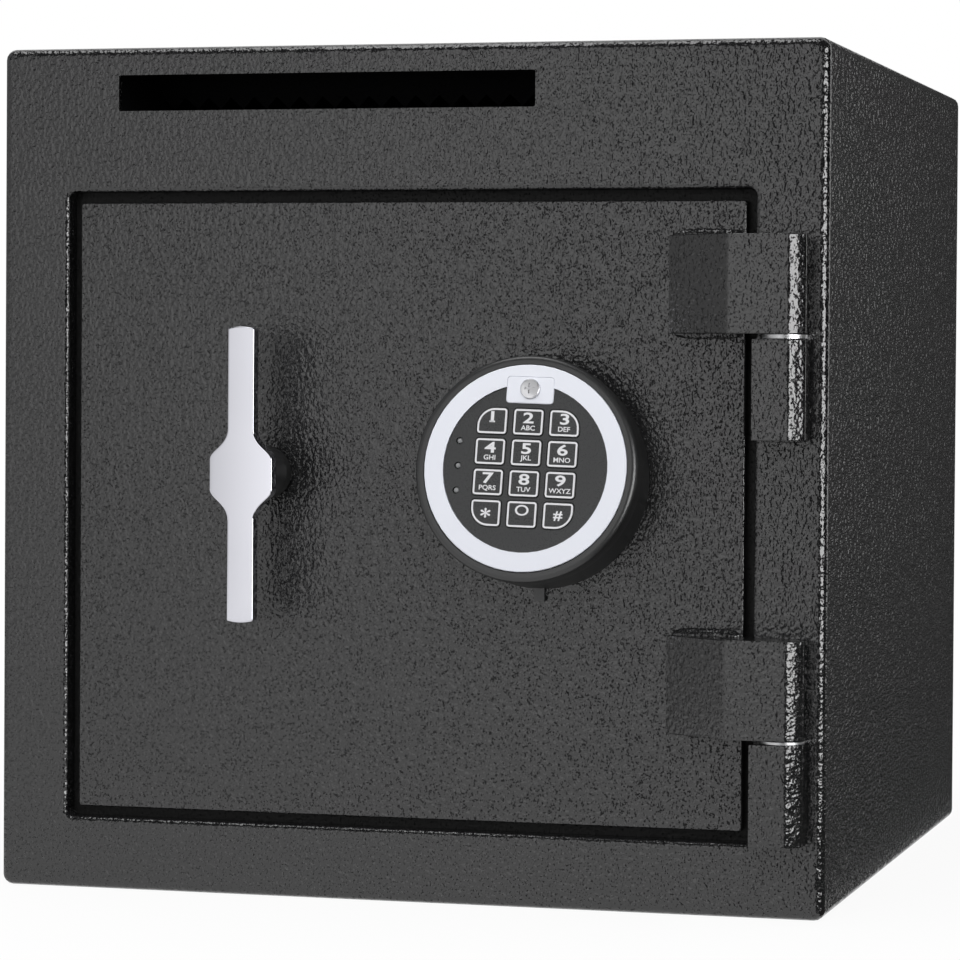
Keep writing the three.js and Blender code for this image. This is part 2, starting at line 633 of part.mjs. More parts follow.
// Fixed half of a hinge: knuckle, pin and thrust washer, below a leaf that starts at zero
function hingeBase(prefix) {
  const group = new THREE.Group();
  const gap = WASHER_THICKNESS + 2 * SEAT_GAP;
  const knuckle = bodyKnuckle(`${prefix}_body_knuckle`);
  knuckle.position.z = -gap - HINGE_LENGTH;
  const pinLength = 2 * (PIN_GRIP - SEAT_GAP) + gap;
  const pin = piece(`${prefix}_hinge_pin`, bar(PIN_RADIUS, 0, pinLength), brightSteel);
  pin.position.z = -gap - PIN_GRIP + SEAT_GAP;
  const disc = bar(HINGE_BARREL_RADIUS + WASHER_PROUD, 0, WASHER_THICKNESS, ROUND_STEPS);
  const eye = bar(PIN_RADIUS + SEAT_GAP, -CUT_OVERRUN, WASHER_THICKNESS + 2 * CUT_OVERRUN);
  const washer = piece(`${prefix}_thrust_washer`, disc.subtract(eye), brightSteel);
  washer.position.z = -gap + SEAT_GAP;
  group.add(knuckle, pin, washer);
  return group;
}

// Door plate: pierced for the handle's bush and the keypad's lead
function doorPlate() {
  const plate = extrudedBack(
    rectangle(DOOR_WIDTH, DOOR_HEIGHT, DOOR_CORNER_RADIUS, 0, DOOR_HEIGHT / 2),
    0, DOOR_THICKNESS, DOOR_EDGE_RADIUS,
  );
  const throughLength = DOOR_THICKNESS + 2 * CUT_OVERRUN;
  const bushHole = barBack(SPINDLE_RADIUS + SLIDE_GAP + BUSH_WALL + SEAT_GAP, -CUT_OVERRUN, throughLength)
    .translate([-HANDLE_OFFSET, 0, CONTROLS_HEIGHT]);
  const cableHole = barBack(CABLE_HOLE_RADIUS, -CUT_OVERRUN, throughLength)
    .translate([KEYPAD_OFFSET, 0, CONTROLS_HEIGHT]);
  return piece('door_plate', plate.subtract(bushHole).subtract(cableHole), blackPaint);
}

// The four places of the screws that hold the pan to the door
function panScrewPlaces() {
  const x = PAN_WIDTH / 2 - PAN_SCREW_INSET_X;
  const low = (DOOR_HEIGHT - PAN_HEIGHT) / 2 + PAN_SCREW_INSET_Z;
  const high = DOOR_HEIGHT - low;
  return [[-x, low], [x, low], [x, high], [-x, high]];
}

// Heights of the live bolts above the door's bottom edge
function boltHeights() {
  const spread = PAN_HEIGHT / 2 - BOLT_END_INSET;
  return [-spread, 0, spread].map((offset) => DOOR_HEIGHT / 2 + offset);
}

// Door pan: a deep-drawn cover over the boltwork, its left side pierced for the live bolts
function doorPan() {
  const centreZ = DOOR_HEIGHT / 2;
  const outside = extrudedBack(
    rectangle(PAN_WIDTH, PAN_HEIGHT, PAN_CORNER_RADIUS, 0, centreZ),
    PAN_FRONT - PAN_SHEET, PAN_DEPTH + PAN_SHEET, PAN_SHEET,
  );
  const inside = extrudedBack(
    rectangle(PAN_WIDTH - 2 * PAN_SHEET, PAN_HEIGHT - 2 * PAN_SHEET, PAN_SHEET, 0, centreZ),
    PAN_FRONT - PAN_SHEET, PAN_DEPTH,
  );
  const mouth = block(
    [-PAN_WIDTH, PAN_FRONT - 2 * PAN_SHEET, -PAN_HEIGHT],
    [PAN_WIDTH, PAN_FRONT, 2 * PAN_HEIGHT],
  );
  let pan = outside.subtract(inside).subtract(mouth);
  for (const height of boltHeights()) {
    const hole = bar(BOLT_RADIUS + SLIDE_GAP, 0, PAN_SHEET + 2 * CUT_OVERRUN)
      .rotate([0, 90, 0])
      .translate([-PAN_WIDTH / 2 - CUT_OVERRUN, BOLT_DEPTH, height]);
    pan = pan.subtract(hole);
  }
  const backStart = PAN_FRONT + PAN_DEPTH - PAN_SHEET - CUT_OVERRUN;
  for (const [x, z] of panScrewPlaces()) {
    const hole = barBack(PAN_SCREW_RADIUS + SEAT_GAP, backStart, PAN_SHEET + 2 * CUT_OVERRUN);
    pan = pan.subtract(hole.translate([x, 0, z]));
  }
  return piece('door_pan', pan, blackPaint);
}

// Pan screws: each reaches from the back of the pan to the door plate
function panScrews() {
  return panScrewPlaces().map(([x, z], index) => {
    const backOfPan = PAN_FRONT + PAN_DEPTH;
    const shank = barBack(PAN_SCREW_RADIUS, PAN_FRONT, PAN_DEPTH + SEAT_GAP + PAN_SCREW_HEAD_HEIGHT / 2);
    const head = barBack(PAN_SCREW_HEAD_RADIUS, backOfPan + SEAT_GAP, PAN_SCREW_HEAD_HEIGHT);
    const screw = piece(`pan_screw_${index + 1}`, shank.add(head), zincPlate);
    screw.position.set(x, 0, z);
    return screw;
  });
}

// Dead bar: an angle on the hinge side of the pan that catches behind the stop frame
function hingeDeadBar() {
  const wallX = PAN_WIDTH / 2 + SEAT_GAP;
  const barFront = DOOR_THICKNESS + DEAD_BAR_SETBACK;
  const backY = PAN_FRONT + PAN_DEPTH;
  const section = outline([
    [wallX, barFront],
    [wallX + DEAD_BAR_REACH, barFront],
    [wallX + DEAD_BAR_REACH, barFront + DEAD_BAR_THICKNESS],
    [wallX + DEAD_BAR_SHEET, barFront + DEAD_BAR_THICKNESS],
    [wallX + DEAD_BAR_SHEET, backY],
    [wallX, backY],
  ]);
  const length = PAN_HEIGHT - 2 * DEAD_BAR_END_INSET;
  const angle = piece('hinge_dead_bar', extruded(section, length), zincPlate);
  angle.position.z = (DOOR_HEIGHT - length) / 2;
  return angle;
}

// Lock case: a cast box on the back of the plate with a channel for the latch
function lockCase() {
  const centreZ = LOCK_BOTTOM + LOCK_HEIGHT / 2;
  const shape = rectangle(LOCK_WIDTH, LOCK_HEIGHT, LOCK_CORNER_RADIUS, KEYPAD_OFFSET, centreZ);
  const box = extrudedBack(shape, PAN_FRONT, LOCK_DEPTH, LOCK_EDGE_RADIUS);
  const latchFront = CARRIER_FRONT + (CARRIER_SHEET - LATCH_THICKNESS) / 2;
  const channel = block(
    [LATCH_LEFT_X - SLIDE_GAP, latchFront - SLIDE_GAP, LOCK_BOTTOM - CUT_OVERRUN],
    [
      LATCH_LEFT_X + LATCH_WIDTH + SLIDE_GAP,
      latchFront + LATCH_THICKNESS + SLIDE_GAP,
      LOCK_BOTTOM + LATCH_LENGTH - LATCH_REST_PROUD + SLIDE_GAP,
    ],
  );
  return piece('lock_case', box.subtract(channel), castLock);
}

// Lock latch: drops out of the case into the way of the carrier's tail
function lockLatch() {
  const section = rectangle(LATCH_WIDTH, LATCH_THICKNESS, SLIDE_GAP);
  const latch = piece('lock_latch', extruded(section, LATCH_LENGTH), brightSteel);
  latch.position.set(
    LATCH_LEFT_X + LATCH_WIDTH / 2,
    CARRIER_FRONT + CARRIER_SHEET / 2,
    LOCK_BOTTOM - LATCH_REST_PROUD,
  );
  return latch;
}

// Bolt carrier: an angle with the bolts on its flange, a cam slot beside it and a tail to the lock
function boltCarrier() {
  const barRight = CARRIER_LEFT_X + CARRIER_BAR_WIDTH;
  const slotX = CAM_REACH - HANDLE_OFFSET;
  const slotWidth = 2 * (CAM_PIN_RADIUS + CAM_PIN_RUNOUT);
  const slotLow = CONTROLS_HEIGHT + CAM_REACH - CAM_PIN_RADIUS - CAM_PIN_RUNOUT;
  const slotHigh = CONTROLS_HEIGHT + CAM_PIN_CIRCLE + CAM_PIN_RADIUS + CAM_PIN_RUNOUT;
  const armRight = slotX + slotWidth / 2 + CARRIER_SLOT_BORDER;
  const armTop = slotHigh + CARRIER_SLOT_BORDER;
  const tailEnd = LATCH_LEFT_X + TAIL_CLEAR_TRAVEL;
  const barLow = (DOOR_HEIGHT - PAN_HEIGHT) / 2 + CARRIER_END_INSET;
  const barHigh = DOOR_HEIGHT - barLow;
  const web = outline([
    [CARRIER_LEFT_X, barLow],
    [barRight, barLow],
    [barRight, TAIL_TOP - TAIL_HEIGHT],
    [tailEnd, TAIL_TOP - TAIL_HEIGHT],
    [tailEnd, TAIL_TOP],
    [armRight, TAIL_TOP],
    [armRight, armTop],
    [barRight, armTop],
    [barRight, barHigh],
    [CARRIER_LEFT_X, barHigh],
  ]);
  const slotCentre = (slotLow + slotHigh) / 2;
  const slotShape = rectangle(slotWidth, slotHigh - slotLow, CAM_PIN_RADIUS, slotX, slotCentre);
  const slot = extrudedBack(slotShape, CARRIER_FRONT - CUT_OVERRUN, CARRIER_SHEET + 2 * CUT_OVERRUN);
  const flange = block(
    [CARRIER_LEFT_X, CARRIER_FRONT, barLow],
    [CARRIER_LEFT_X + CARRIER_SHEET, CARRIER_FRONT + CARRIER_FLANGE, barHigh],
  );
  const angle = extrudedBack(web, CARRIER_FRONT, CARRIER_SHEET).subtract(slot).add(flange);
  return piece('bolt_carrier', angle, zincPlate);
}

// Live bolts: round bars on the carrier's flange that pass through the side of the pan
function liveBolts() {
  const profile = [
    [0, 0],
    [BOLT_RADIUS, 0],
    [BOLT_RADIUS, BOLT_LENGTH - BOLT_TIP_CHAMFER],
    [BOLT_RADIUS - BOLT_TIP_CHAMFER, BOLT_LENGTH],
    [0, BOLT_LENGTH],
  ];
  return boltHeights().map((height, index) => {
    const round = turned(profile, SMALL_ROUND_STEPS).rotate([0, -90, 0]);
    const bolt = piece(`live_bolt_${index + 1}`, round, brightSteel);
    bolt.position.set(CARRIER_LEFT_X - SEAT_GAP, BOLT_DEPTH, height);
    return bolt;
  });
}

// Handle: built with +Z out of the door, a crowned bar with a hub on a necked collar
function handleOutline() {
  const arm = HANDLE_ARM_WIDTH / 2;
  const hub = HANDLE_HUB_WIDTH / 2;
  const flat = HANDLE_HUB_FLAT / 2;
  const neck = flat + HANDLE_SHOULDER;
  const end = HANDLE_LENGTH / 2;
  const endCentre = end - HANDLE_END_RADIUS;
  const endAngle = Math.asin(arm / HANDLE_END_RADIUS);
  const upright = radians(90);
  const leaveHub = flat + SHOULDER_HUB_SHARE * HANDLE_SHOULDER;
  const joinArm = neck - SHOULDER_ARM_SHARE * HANDLE_SHOULDER;
  const shape = new THREE.Shape();
  shape.moveTo(hub, -flat);
  shape.lineTo(hub, flat);
  shape.bezierCurveTo(hub, leaveHub, arm, joinArm, arm, neck);
  shape.absarc(0, endCentre, HANDLE_END_RADIUS, upright - endAngle, upright + endAngle);
  shape.lineTo(-arm, neck);
  shape.bezierCurveTo(-arm, joinArm, -hub, leaveHub, -hub, flat);
  shape.lineTo(-hub, -flat);
  shape.bezierCurveTo(-hub, -leaveHub, -arm, -joinArm, -arm, -neck);
  shape.absarc(0, -endCentre, HANDLE_END_RADIUS, -upright - endAngle, -upright + endAngle);
  shape.lineTo(arm, -neck);
  shape.bezierCurveTo(arm, -joinArm, hub, -leaveHub, hub, -flat);
  return shape;
}

function handlePiece() {
  const backHeight = HANDLE_STANDOFF - HANDLE_THICKNESS;
  const slab = extruded(handleOutline(), HANDLE_THICKNESS, HANDLE_EDGE_RADIUS, FINE_CURVE_STEPS)
    .translate([0, 0, backHeight]);
  const crown = bar(HANDLE_CROWN_RADIUS, -HANDLE_LENGTH, 2 * HANDLE_LENGTH, 2 * ROUND_STEPS)
    .rotate([90, 0, 0])
    .translate([0, 0, HANDLE_STANDOFF - HANDLE_CROWN_RADIUS]);
  const collarStart = BUSH_FLANGE_THICKNESS + 2 * SEAT_GAP;
  const neck = turned([
    [0, collarStart],
    [HANDLE_COLLAR_RADIUS, collarStart],
    [HANDLE_COLLAR_RADIUS, collarStart + HANDLE_COLLAR_HEIGHT],
    [HANDLE_NECK_RADIUS, collarStart + 2 * HANDLE_COLLAR_HEIGHT],
    [HANDLE_NECK_RADIUS, backHeight + HANDLE_THICKNESS / 2],
    [0, backHeight + HANDLE_THICKNESS / 2],
  ], SMALL_ROUND_STEPS);
  const socketHalf = SPINDLE_SQUARE / 2 + SPINDLE_SQUARE_FIT;
  const socket = block(
    [-socketHalf, -socketHalf, collarStart - CUT_OVERRUN],
    [socketHalf, socketHalf, collarStart + SPINDLE_GRIP + SEAT_GAP],
  );
  return piece('handle', slab.intersect(crown).add(neck).subtract(socket), chrome);
}

// Spindle: round through the bush, squared at both ends for the handle and the cam
function handleSpindle() {
  const front = BUSH_FLANGE_THICKNESS + 2 * SEAT_GAP;
  const half = SPINDLE_SQUARE / 2;
  const journal = bar(SPINDLE_RADIUS, -CAM_FRONT + SEAT_GAP, CAM_FRONT + front - 2 * SEAT_GAP);
  const square = block([-half, -half, -CAM_FRONT - CAM_THICKNESS], [half, half, front + SPINDLE_GRIP]);
  return piece('handle_spindle', journal.add(square), brightSteel);
}

// Cam: an arm on the spindle whose pin drives the carrier's slot
function handleCam() {
  const arm = outline([
    [0, -CAM_PIN_RADIUS],
    [CAM_PIN_CIRCLE, -CAM_PIN_RADIUS],
    [CAM_PIN_CIRCLE, CAM_PIN_RADIUS],
    [0, CAM_PIN_RADIUS],
  ]);
  const half = SPINDLE_SQUARE / 2 + SPINDLE_SQUARE_FIT;
  const eye = block([-half, -half, -CUT_OVERRUN], [half, half, CAM_THICKNESS + CUT_OVERRUN])
    .rotate([0, 0, CAM_REST_ANGLE]);
  const pinLength = CAM_THICKNESS + CARRIER_CAM_CLEARANCE + CARRIER_SHEET + CAM_PIN_RUNOUT;
  const pin = bar(CAM_PIN_RADIUS, CAM_THICKNESS - pinLength, pinLength).translate([CAM_PIN_CIRCLE, 0, 0]);
  const disc = bar(CAM_HUB_RADIUS, 0, CAM_THICKNESS).add(extruded(arm, CAM_THICKNESS));
  const cam = piece('handle_cam', disc.subtract(eye).add(pin), zincPlate);
  cam.position.z = -CAM_FRONT - CAM_THICKNESS;
  cam.rotation.z = radians(CAM_REST_ANGLE);
  return cam;
}

function spindleBush() {
  const bore = SPINDLE_RADIUS + SLIDE_GAP;
  const profile = [
    [bore, -DOOR_THICKNESS],
    [bore + BUSH_WALL, -DOOR_THICKNESS],
    [bore + BUSH_WALL, SEAT_GAP],
    [BUSH_FLANGE_RADIUS, SEAT_GAP],
    [BUSH_FLANGE_RADIUS, SEAT_GAP + BUSH_FLANGE_THICKNESS],
    [bore, SEAT_GAP + BUSH_FLANGE_THICKNESS],
    [bore, -DOOR_THICKNESS],
  ];
  return piece('spindle_bush', turned(profile, SMALL_ROUND_STEPS), zincPlate);
}

// Keypad pieces: built with +Z out of the leaning face and zero at the front of the rim

// A solid built with +Z out of the door, moved to where the keypad's axis meets the door
function ontoDoor(solid) {
  const alongAxis = KEYPAD_STANDOFF / Math.cos(radians(KEYPAD_LEAN));
  return solid.rotate([KEYPAD_LEAN, 0, 0]).translate([0, 0, -alongAxis]);
}

// The space that starts a clearance in front of the door, in the keypad's frame
function spaceBeforeDoor(clearance) {
  const far = 2 * KEYPAD_RADIUS + KEYPAD_STANDOFF;
  return ontoDoor(block([-far, -far, clearance], [far, far, far]));
}

// Base: a cup between the door and the housing, cut on the slant where it meets the door
function keypadBase() {
  const radius = KEYPAD_RADIUS - BASE_STEP;
  const top = -HOUSING_THICKNESS - SEAT_GAP;
  const length = 2 * KEYPAD_STANDOFF;
  const wall = bar(radius, top - length, length, 2 * ROUND_STEPS).intersect(spaceBeforeDoor(SEAT_GAP));
  const hollow = bar(radius - BASE_WALL, top - length, length + CUT_OVERRUN, ROUND_STEPS)
    .intersect(spaceBeforeDoor(SEAT_GAP + BASE_BACK));
  const cableHole = bar(CABLE_HOLE_RADIUS, -CUT_OVERRUN, SEAT_GAP + BASE_BACK + 2 * CUT_OVERRUN);
  const lowEdge = -radius / Math.cos(radians(KEYPAD_LEAN));
  const tab = block(
    [-BASE_TAB_WIDTH / 2, lowEdge - BASE_TAB_DROP, SEAT_GAP],
    [BASE_TAB_WIDTH / 2, lowEdge + BASE_WALL, SEAT_GAP + BASE_TAB_THICKNESS],
  );
  const cup = wall.subtract(hollow).subtract(ontoDoor(cableHole)).add(ontoDoor(tab));
  return piece('keypad_base', cup, blackPlastic);
}

// A quarter circle of [radius, height] points from the side of a rim to its front
function rimArc(outerRadius, edgeRadius) {
  const steps = RIM_STEPS;
  return Array.from({ length: steps + 1 }, (_, step) => {
    const angle = radians(90 * step / steps);
    return [
      outerRadius - edgeRadius + edgeRadius * Math.cos(angle),
      edgeRadius * Math.sin(angle) - edgeRadius,
    ];
  });
}

// Housing: a puck with a rounded rim, stepped inside for the ring, the face and the board
function keypadHousing() {
  const ringSeat = RING_PROUD - RING_THICKNESS - SEAT_GAP;
  const ringWall = RING_OUTER_RADIUS + SEAT_GAP;
  const ledge = RING_INNER_RADIUS - FACE_LEDGE;
  const puck = turned([
    [0, -HOUSING_THICKNESS],
    [KEYPAD_RADIUS - BASE_STEP, -HOUSING_THICKNESS],
    [KEYPAD_RADIUS, BASE_STEP - HOUSING_THICKNESS],
    ...rimArc(KEYPAD_RADIUS, KEYPAD_RIM_RADIUS),
    [ringWall, 0],
    [ringWall, ringSeat],
    [ledge, ringSeat],
    [ledge, -HOUSING_FLOOR],
    [0, -HOUSING_FLOOR],
  ], 2 * ROUND_STEPS);
  const screwHole = bar(SCREW_SHANK_RADIUS + SEAT_GAP, -SCREW_LENGTH - SEAT_GAP, SCREW_LENGTH + CUT_OVERRUN)
    .translate([0, TAB_SCREW_HEIGHT, 0]);
  return piece('keypad_housing', puck.subtract(screwHole), blackPlastic);
}

// Outline of the screw tab, grown by a margin
function tabOutline(margin) {
  return rectangle(
    TAB_WIDTH + 2 * margin, TAB_TOP - TAB_BOTTOM + 2 * margin,
    TAB_CORNER_RADIUS, 0, (TAB_TOP + TAB_BOTTOM) / 2,
  );
}

// The pocket that the ring and the face leave for the screw tab
function tabPocket() {
  const start = -HOUSING_THICKNESS / 2;
  return extruded(tabOutline(SEAT_GAP), HOUSING_THICKNESS).translate([0, 0, start]);
}

function keypadRing() {
  const round = rimArc(RING_OUTER_RADIUS, RING_EDGE_RADIUS).map(([r, h]) => [r, h + RING_PROUD]);
  const back = RING_PROUD - RING_THICKNESS;
  const ring = turned([
    [RING_INNER_RADIUS, back],
    [RING_OUTER_RADIUS, back],
    ...round,
    [RING_INNER_RADIUS, RING_PROUD],
    [RING_INNER_RADIUS, back],
  ], 2 * ROUND_STEPS);
  return piece('keypad_ring', ring.subtract(tabPocket()), silverPlastic);
}

function screwTab() {
  const plate = extruded(tabOutline(0), RING_THICKNESS, RING_EDGE_RADIUS)
    .translate([0, 0, RING_PROUD - RING_THICKNESS]);
  const start = -RING_THICKNESS - CUT_OVERRUN;
  const hole = bar(SCREW_SHANK_RADIUS + SEAT_GAP, start, 2 * (RING_THICKNESS + CUT_OVERRUN))
    .translate([0, TAB_SCREW_HEIGHT, 0]);
  return piece('keypad_screw_tab', plate.subtract(hole), silverPlastic);
}

// Screw: a cross-head pan screw that holds the tab and the housing
function keypadScrew() {
  const seat = RING_PROUD + SEAT_GAP;
  const screw = turned([
    [0, -SCREW_LENGTH],
    [SCREW_SHANK_RADIUS, -SCREW_LENGTH],
    [SCREW_SHANK_RADIUS, seat],
    [SCREW_HEAD_RADIUS, seat],
    [SCREW_HEAD_RADIUS, seat + SCREW_HEAD_HEIGHT / 2],
    [SCREW_HEAD_RADIUS - SCREW_HEAD_HEIGHT / 2, seat + SCREW_HEAD_HEIGHT],
    [0, seat + SCREW_HEAD_HEIGHT],
  ], SMALL_ROUND_STEPS);
  const reach = SCREW_CROSS_REACH;
  const half = SCREW_CROSS_WIDTH / 2;
  const floor = seat + SCREW_HEAD_HEIGHT - SCREW_CROSS_DEPTH;
  const roof = seat + SCREW_HEAD_HEIGHT + CUT_OVERRUN;
  const cross = block([-reach, -half, floor], [reach, half, roof])
    .add(block([-half, -reach, floor], [half, reach, roof]));
  const mesh = piece('keypad_screw', screw.subtract(cross), brightSteel);
  mesh.position.y = TAB_SCREW_HEIGHT;
  return mesh;
}

function keyPlace(row, column) {
  const x = (column - (KEY_COLUMNS - 1) / 2) * KEY_PITCH_X;
  const y = ((KEY_LINES - 1) / 2 - row) * KEY_PITCH_Y;
  return [x, y];
}

// Outline of a key, grown by a margin; a corner key is rounded off outwards
function keyOutline(row, column, margin) {
  const radii = Array(4).fill(KEY_CORNER_RADIUS + margin);
  const top = row === 0;
  const bottom = row === KEY_LINES - 1;
  const left = column === 0;
  const right = column === KEY_COLUMNS - 1;
  const outer = KEY_OUTER_CORNER_RADIUS + margin;
  if (bottom && left) radii[0] = outer;
  if (bottom && right) radii[1] = outer;
  if (top && right) radii[2] = outer;
  if (top && left) radii[3] = outer;
  return rectangle(KEY_WIDTH + 2 * margin, KEY_HEIGHT + 2 * margin, radii);
}

function eachKey(visit) {
  return KEY_ROWS.flatMap((labels, row) => labels.map((label, column) => visit(label, row, column)));
}

// Heights of the status lamps on the face
function lampHeights() {
  return [LAMP_PITCH, 0, -LAMP_PITCH];
}

// Face: the black panel inside the ring, with a window for each key and lamp
function keypadFace() {
  const back = -FACE_SUNK - FACE_THICKNESS;
  let face = bar(RING_INNER_RADIUS - SEAT_GAP, back, FACE_THICKNESS, 2 * ROUND_STEPS).subtract(tabPocket());
  const windowStart = back - CUT_OVERRUN;
  const windowLength = FACE_THICKNESS + 2 * CUT_OVERRUN;
  eachKey((label, row, column) => {
    const [x, y] = keyPlace(row, column);
    const cut = extruded(keyOutline(row, column, SLIDE_GAP), windowLength).translate([x, y, windowStart]);
    face = face.subtract(cut);
  });
  for (const y of lampHeights()) {
    const hole = bar(LAMP_RADIUS + SEAT_GAP, windowStart, windowLength).translate([-LAMP_OFFSET, y, 0]);
    face = face.subtract(hole);
  }
  return piece('keypad_face', face, glossyFace);
}

function keys() {
  return eachKey((label, row, column) => {
    const thickness = FACE_THICKNESS + KEY_PROUD;
    const shape = extruded(keyOutline(row, column, 0), thickness, KEY_EDGE_RADIUS);
    const cap = piece(`key_${label}`, shape, glossyFace);
    const [x, y] = keyPlace(row, column);
    cap.position.set(x, y, -FACE_SUNK - FACE_THICKNESS);
    return cap;
  });
}

// Status lamps: domed rods that stand on the board behind the face
function statusLamps() {
  return lampHeights().map((y, index) => {
    const foot = -BOARD_FRONT + SEAT_GAP;
    const tip = -FACE_SUNK - LAMP_SUNK;
    const profile = [[0, foot], [LAMP_RADIUS, foot], [LAMP_RADIUS, tip - LAMP_RADIUS / 2], [0, tip]];
    const lamp = piece(`status_lamp_${index + 1}`, turned(profile, SMALL_ROUND_STEPS), lampPlastic);
    lamp.position.set(-LAMP_OFFSET, y, 0);
    return lamp;
  });
}

// Board: a round circuit board with its top cut off below the screw
function keypadBoard() {
  const disc = bar(BOARD_RADIUS, -BOARD_BACK, BOARD_THICKNESS, ROUND_STEPS);
  const top = TAB_SCREW_HEIGHT - SCREW_SHANK_RADIUS - BOARD_SCREW_GAP;
  const keep = block([-BOARD_RADIUS, -BOARD_RADIUS, -HOUSING_THICKNESS], [BOARD_RADIUS, top, 0]);
  return piece('keypad_board', disc.intersect(keep), boardGreen);
}

// Battery: lies against the back of the housing, in the deep lower half of the base
function keypadBattery() {
  const front = -HOUSING_THICKNESS - SEAT_GAP;
  const centreY = -BATTERY_LOW - BATTERY_HEIGHT / 2;
  const shape = rectangle(BATTERY_WIDTH, BATTERY_HEIGHT, BATTERY_CORNER_RADIUS, 0, centreY);
  const brick = extruded(shape, BATTERY_THICKNESS, BATTERY_EDGE_RADIUS);
  return piece('keypad_battery', brick.translate([0, 0, front - BATTERY_THICKNESS]), batterySkin);
}

// Assemblies
function keypad() {
  const lean = radians(KEYPAD_LEAN);
  const group = groupAt(KEYPAD_OFFSET, -KEYPAD_STANDOFF, CONTROLS_HEIGHT + KEYPAD_STANDOFF * Math.tan(lean));
  group.rotation.x = radians(90) - lean;
  const face = new THREE.Group();
  face.rotation.z = radians(KEYPAD_TURN);
  face.add(keypadHousing(), keypadRing(), screwTab(), keypadScrew(), keypadFace(), keypadBoard());
  face.add(keypadBattery(), ...statusLamps(), ...keys());
  group.add(keypadBase(), face);
  return group;
}

function handleSet() {
  const group = groupAt(-HANDLE_OFFSET, 0, CONTROLS_HEIGHT);
  group.rotation.x = radians(90);
  group.add(handlePiece(), handleSpindle(), handleCam(), spindleBush());
  return group;
}

function doorSet() {
  const group = groupAt(0, DOOR_SURFACE_Y, DOOR_BOTTOM);
  group.add(doorPlate(), doorPan(), ...panScrews(), hingeDeadBar(), lockCase(), lockLatch());
  group.add(boltCarrier(), ...liveBolts(), handleSet(), keypad());
  return group;
}

function hingeSet(prefix, leafHeight) {
  const group = groupAt(HINGE_X, HINGE_Y, DOOR_BOTTOM + leafHeight);
  group.add(hingeLeaf(`${prefix}_hinge_leaf`), hingeBase(prefix));
  return group;
}

function safe() {
  const group = new THREE.Group();
  group.add(bodyShell(), backPlate(), doorStopFrame(), depositChute(), antiFishBaffle(), doorSet());
  const upperLeafHeight = DOOR_HEIGHT - UPPER_LEAF_TOP_INSET - HINGE_LENGTH;
  group.add(hingeSet('upper', upperLeafHeight), hingeSet('lower', LOWER_LEAF_HEIGHT));
  return group;
}

export default safe();
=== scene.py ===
# %% [markdown]
# # A drop safe, dressed for the camera
#
# The steel parts come from a CAD frame that already has the real sizes and joints. This lesson
# gives each part its finish, swaps the ones with curved or printed surfaces for finer meshes,
# and lights the safe in a plain white studio. Lengths are in metres; MM turns millimetres into them.

# %% Load the frame
import json
import math

import bmesh
import bpy
from mathutils import Matrix, Vector
from mathutils.noise import hetero_terrain


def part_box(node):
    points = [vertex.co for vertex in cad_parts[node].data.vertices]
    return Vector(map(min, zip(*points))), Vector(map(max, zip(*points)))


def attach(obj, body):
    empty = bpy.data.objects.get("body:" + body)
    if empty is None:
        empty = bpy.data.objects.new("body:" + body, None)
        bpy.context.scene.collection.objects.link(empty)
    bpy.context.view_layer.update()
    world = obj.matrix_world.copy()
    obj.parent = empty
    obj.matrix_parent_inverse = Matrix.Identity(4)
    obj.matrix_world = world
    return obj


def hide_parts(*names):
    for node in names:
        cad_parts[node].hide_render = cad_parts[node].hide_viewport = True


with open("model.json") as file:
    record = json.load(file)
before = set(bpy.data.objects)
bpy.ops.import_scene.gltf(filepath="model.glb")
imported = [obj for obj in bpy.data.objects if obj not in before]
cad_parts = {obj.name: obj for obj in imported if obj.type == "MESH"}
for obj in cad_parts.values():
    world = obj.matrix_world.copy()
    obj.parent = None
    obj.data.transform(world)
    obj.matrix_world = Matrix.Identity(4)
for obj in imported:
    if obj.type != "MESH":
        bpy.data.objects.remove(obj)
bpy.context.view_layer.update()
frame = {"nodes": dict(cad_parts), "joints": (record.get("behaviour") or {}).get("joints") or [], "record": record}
MM = 0.001
print("parts in the frame:", len(frame["nodes"]))

# %% [markdown]
# ## The camera
#
# The photograph was taken a little to the right of the door, almost level. A camera can be aimed by
# eye, or its axes can be worked out from how far it turns left, tips down and rolls. The second way
# is used, because the vertical edges of the safe then lean exactly as they do in the photograph.

# %% Camera
CAMERA_PLACE = Vector((0.4984, -1.8565, 0.2548))
CAMERA_YAW = math.radians(-15.008)
CAMERA_PITCH = math.radians(-1.061)
CAMERA_ROLL = math.radians(0.382)
CAMERA_LENS = 139.48
CAMERA_SHIFT = (-0.0366, -0.0567)


def aimed(yaw, pitch, roll):
    """Rotation of a camera that looks along +Y when all three turns are zero."""
    level = Matrix.Rotation(-yaw, 4, "Z") @ Matrix.Rotation(math.radians(90) + pitch, 4, "X")
    return level @ Matrix.Rotation(roll, 4, "Z")


camera_data = bpy.data.cameras.new("camera")
camera_data.lens = CAMERA_LENS
camera_data.shift_x, camera_data.shift_y = CAMERA_SHIFT
camera_data.clip_end = 50
camera = bpy.data.objects.new("camera", camera_data)
camera.matrix_world = Matrix.Translation(CAMERA_PLACE) @ aimed(CAMERA_YAW, CAMERA_PITCH, CAMERA_ROLL)
bpy.context.scene.collection.objects.link(camera)
bpy.context.scene.camera = camera
bpy.context.scene.view_settings.view_transform = "Standard"
sight = camera.matrix_world.to_3x3() @ Vector((0, 0, -1))
print("camera looks along", tuple(round(v, 3) for v in sight))

# %% [markdown]
# ## Node helpers
#
# A finish is a small graph of shader nodes. These helpers start a finish, add one node, and read the
# place of a surface point in the object's own coordinates, so that a pattern keeps its real size and
# stays where it is when a part moves.

# %% Node helpers


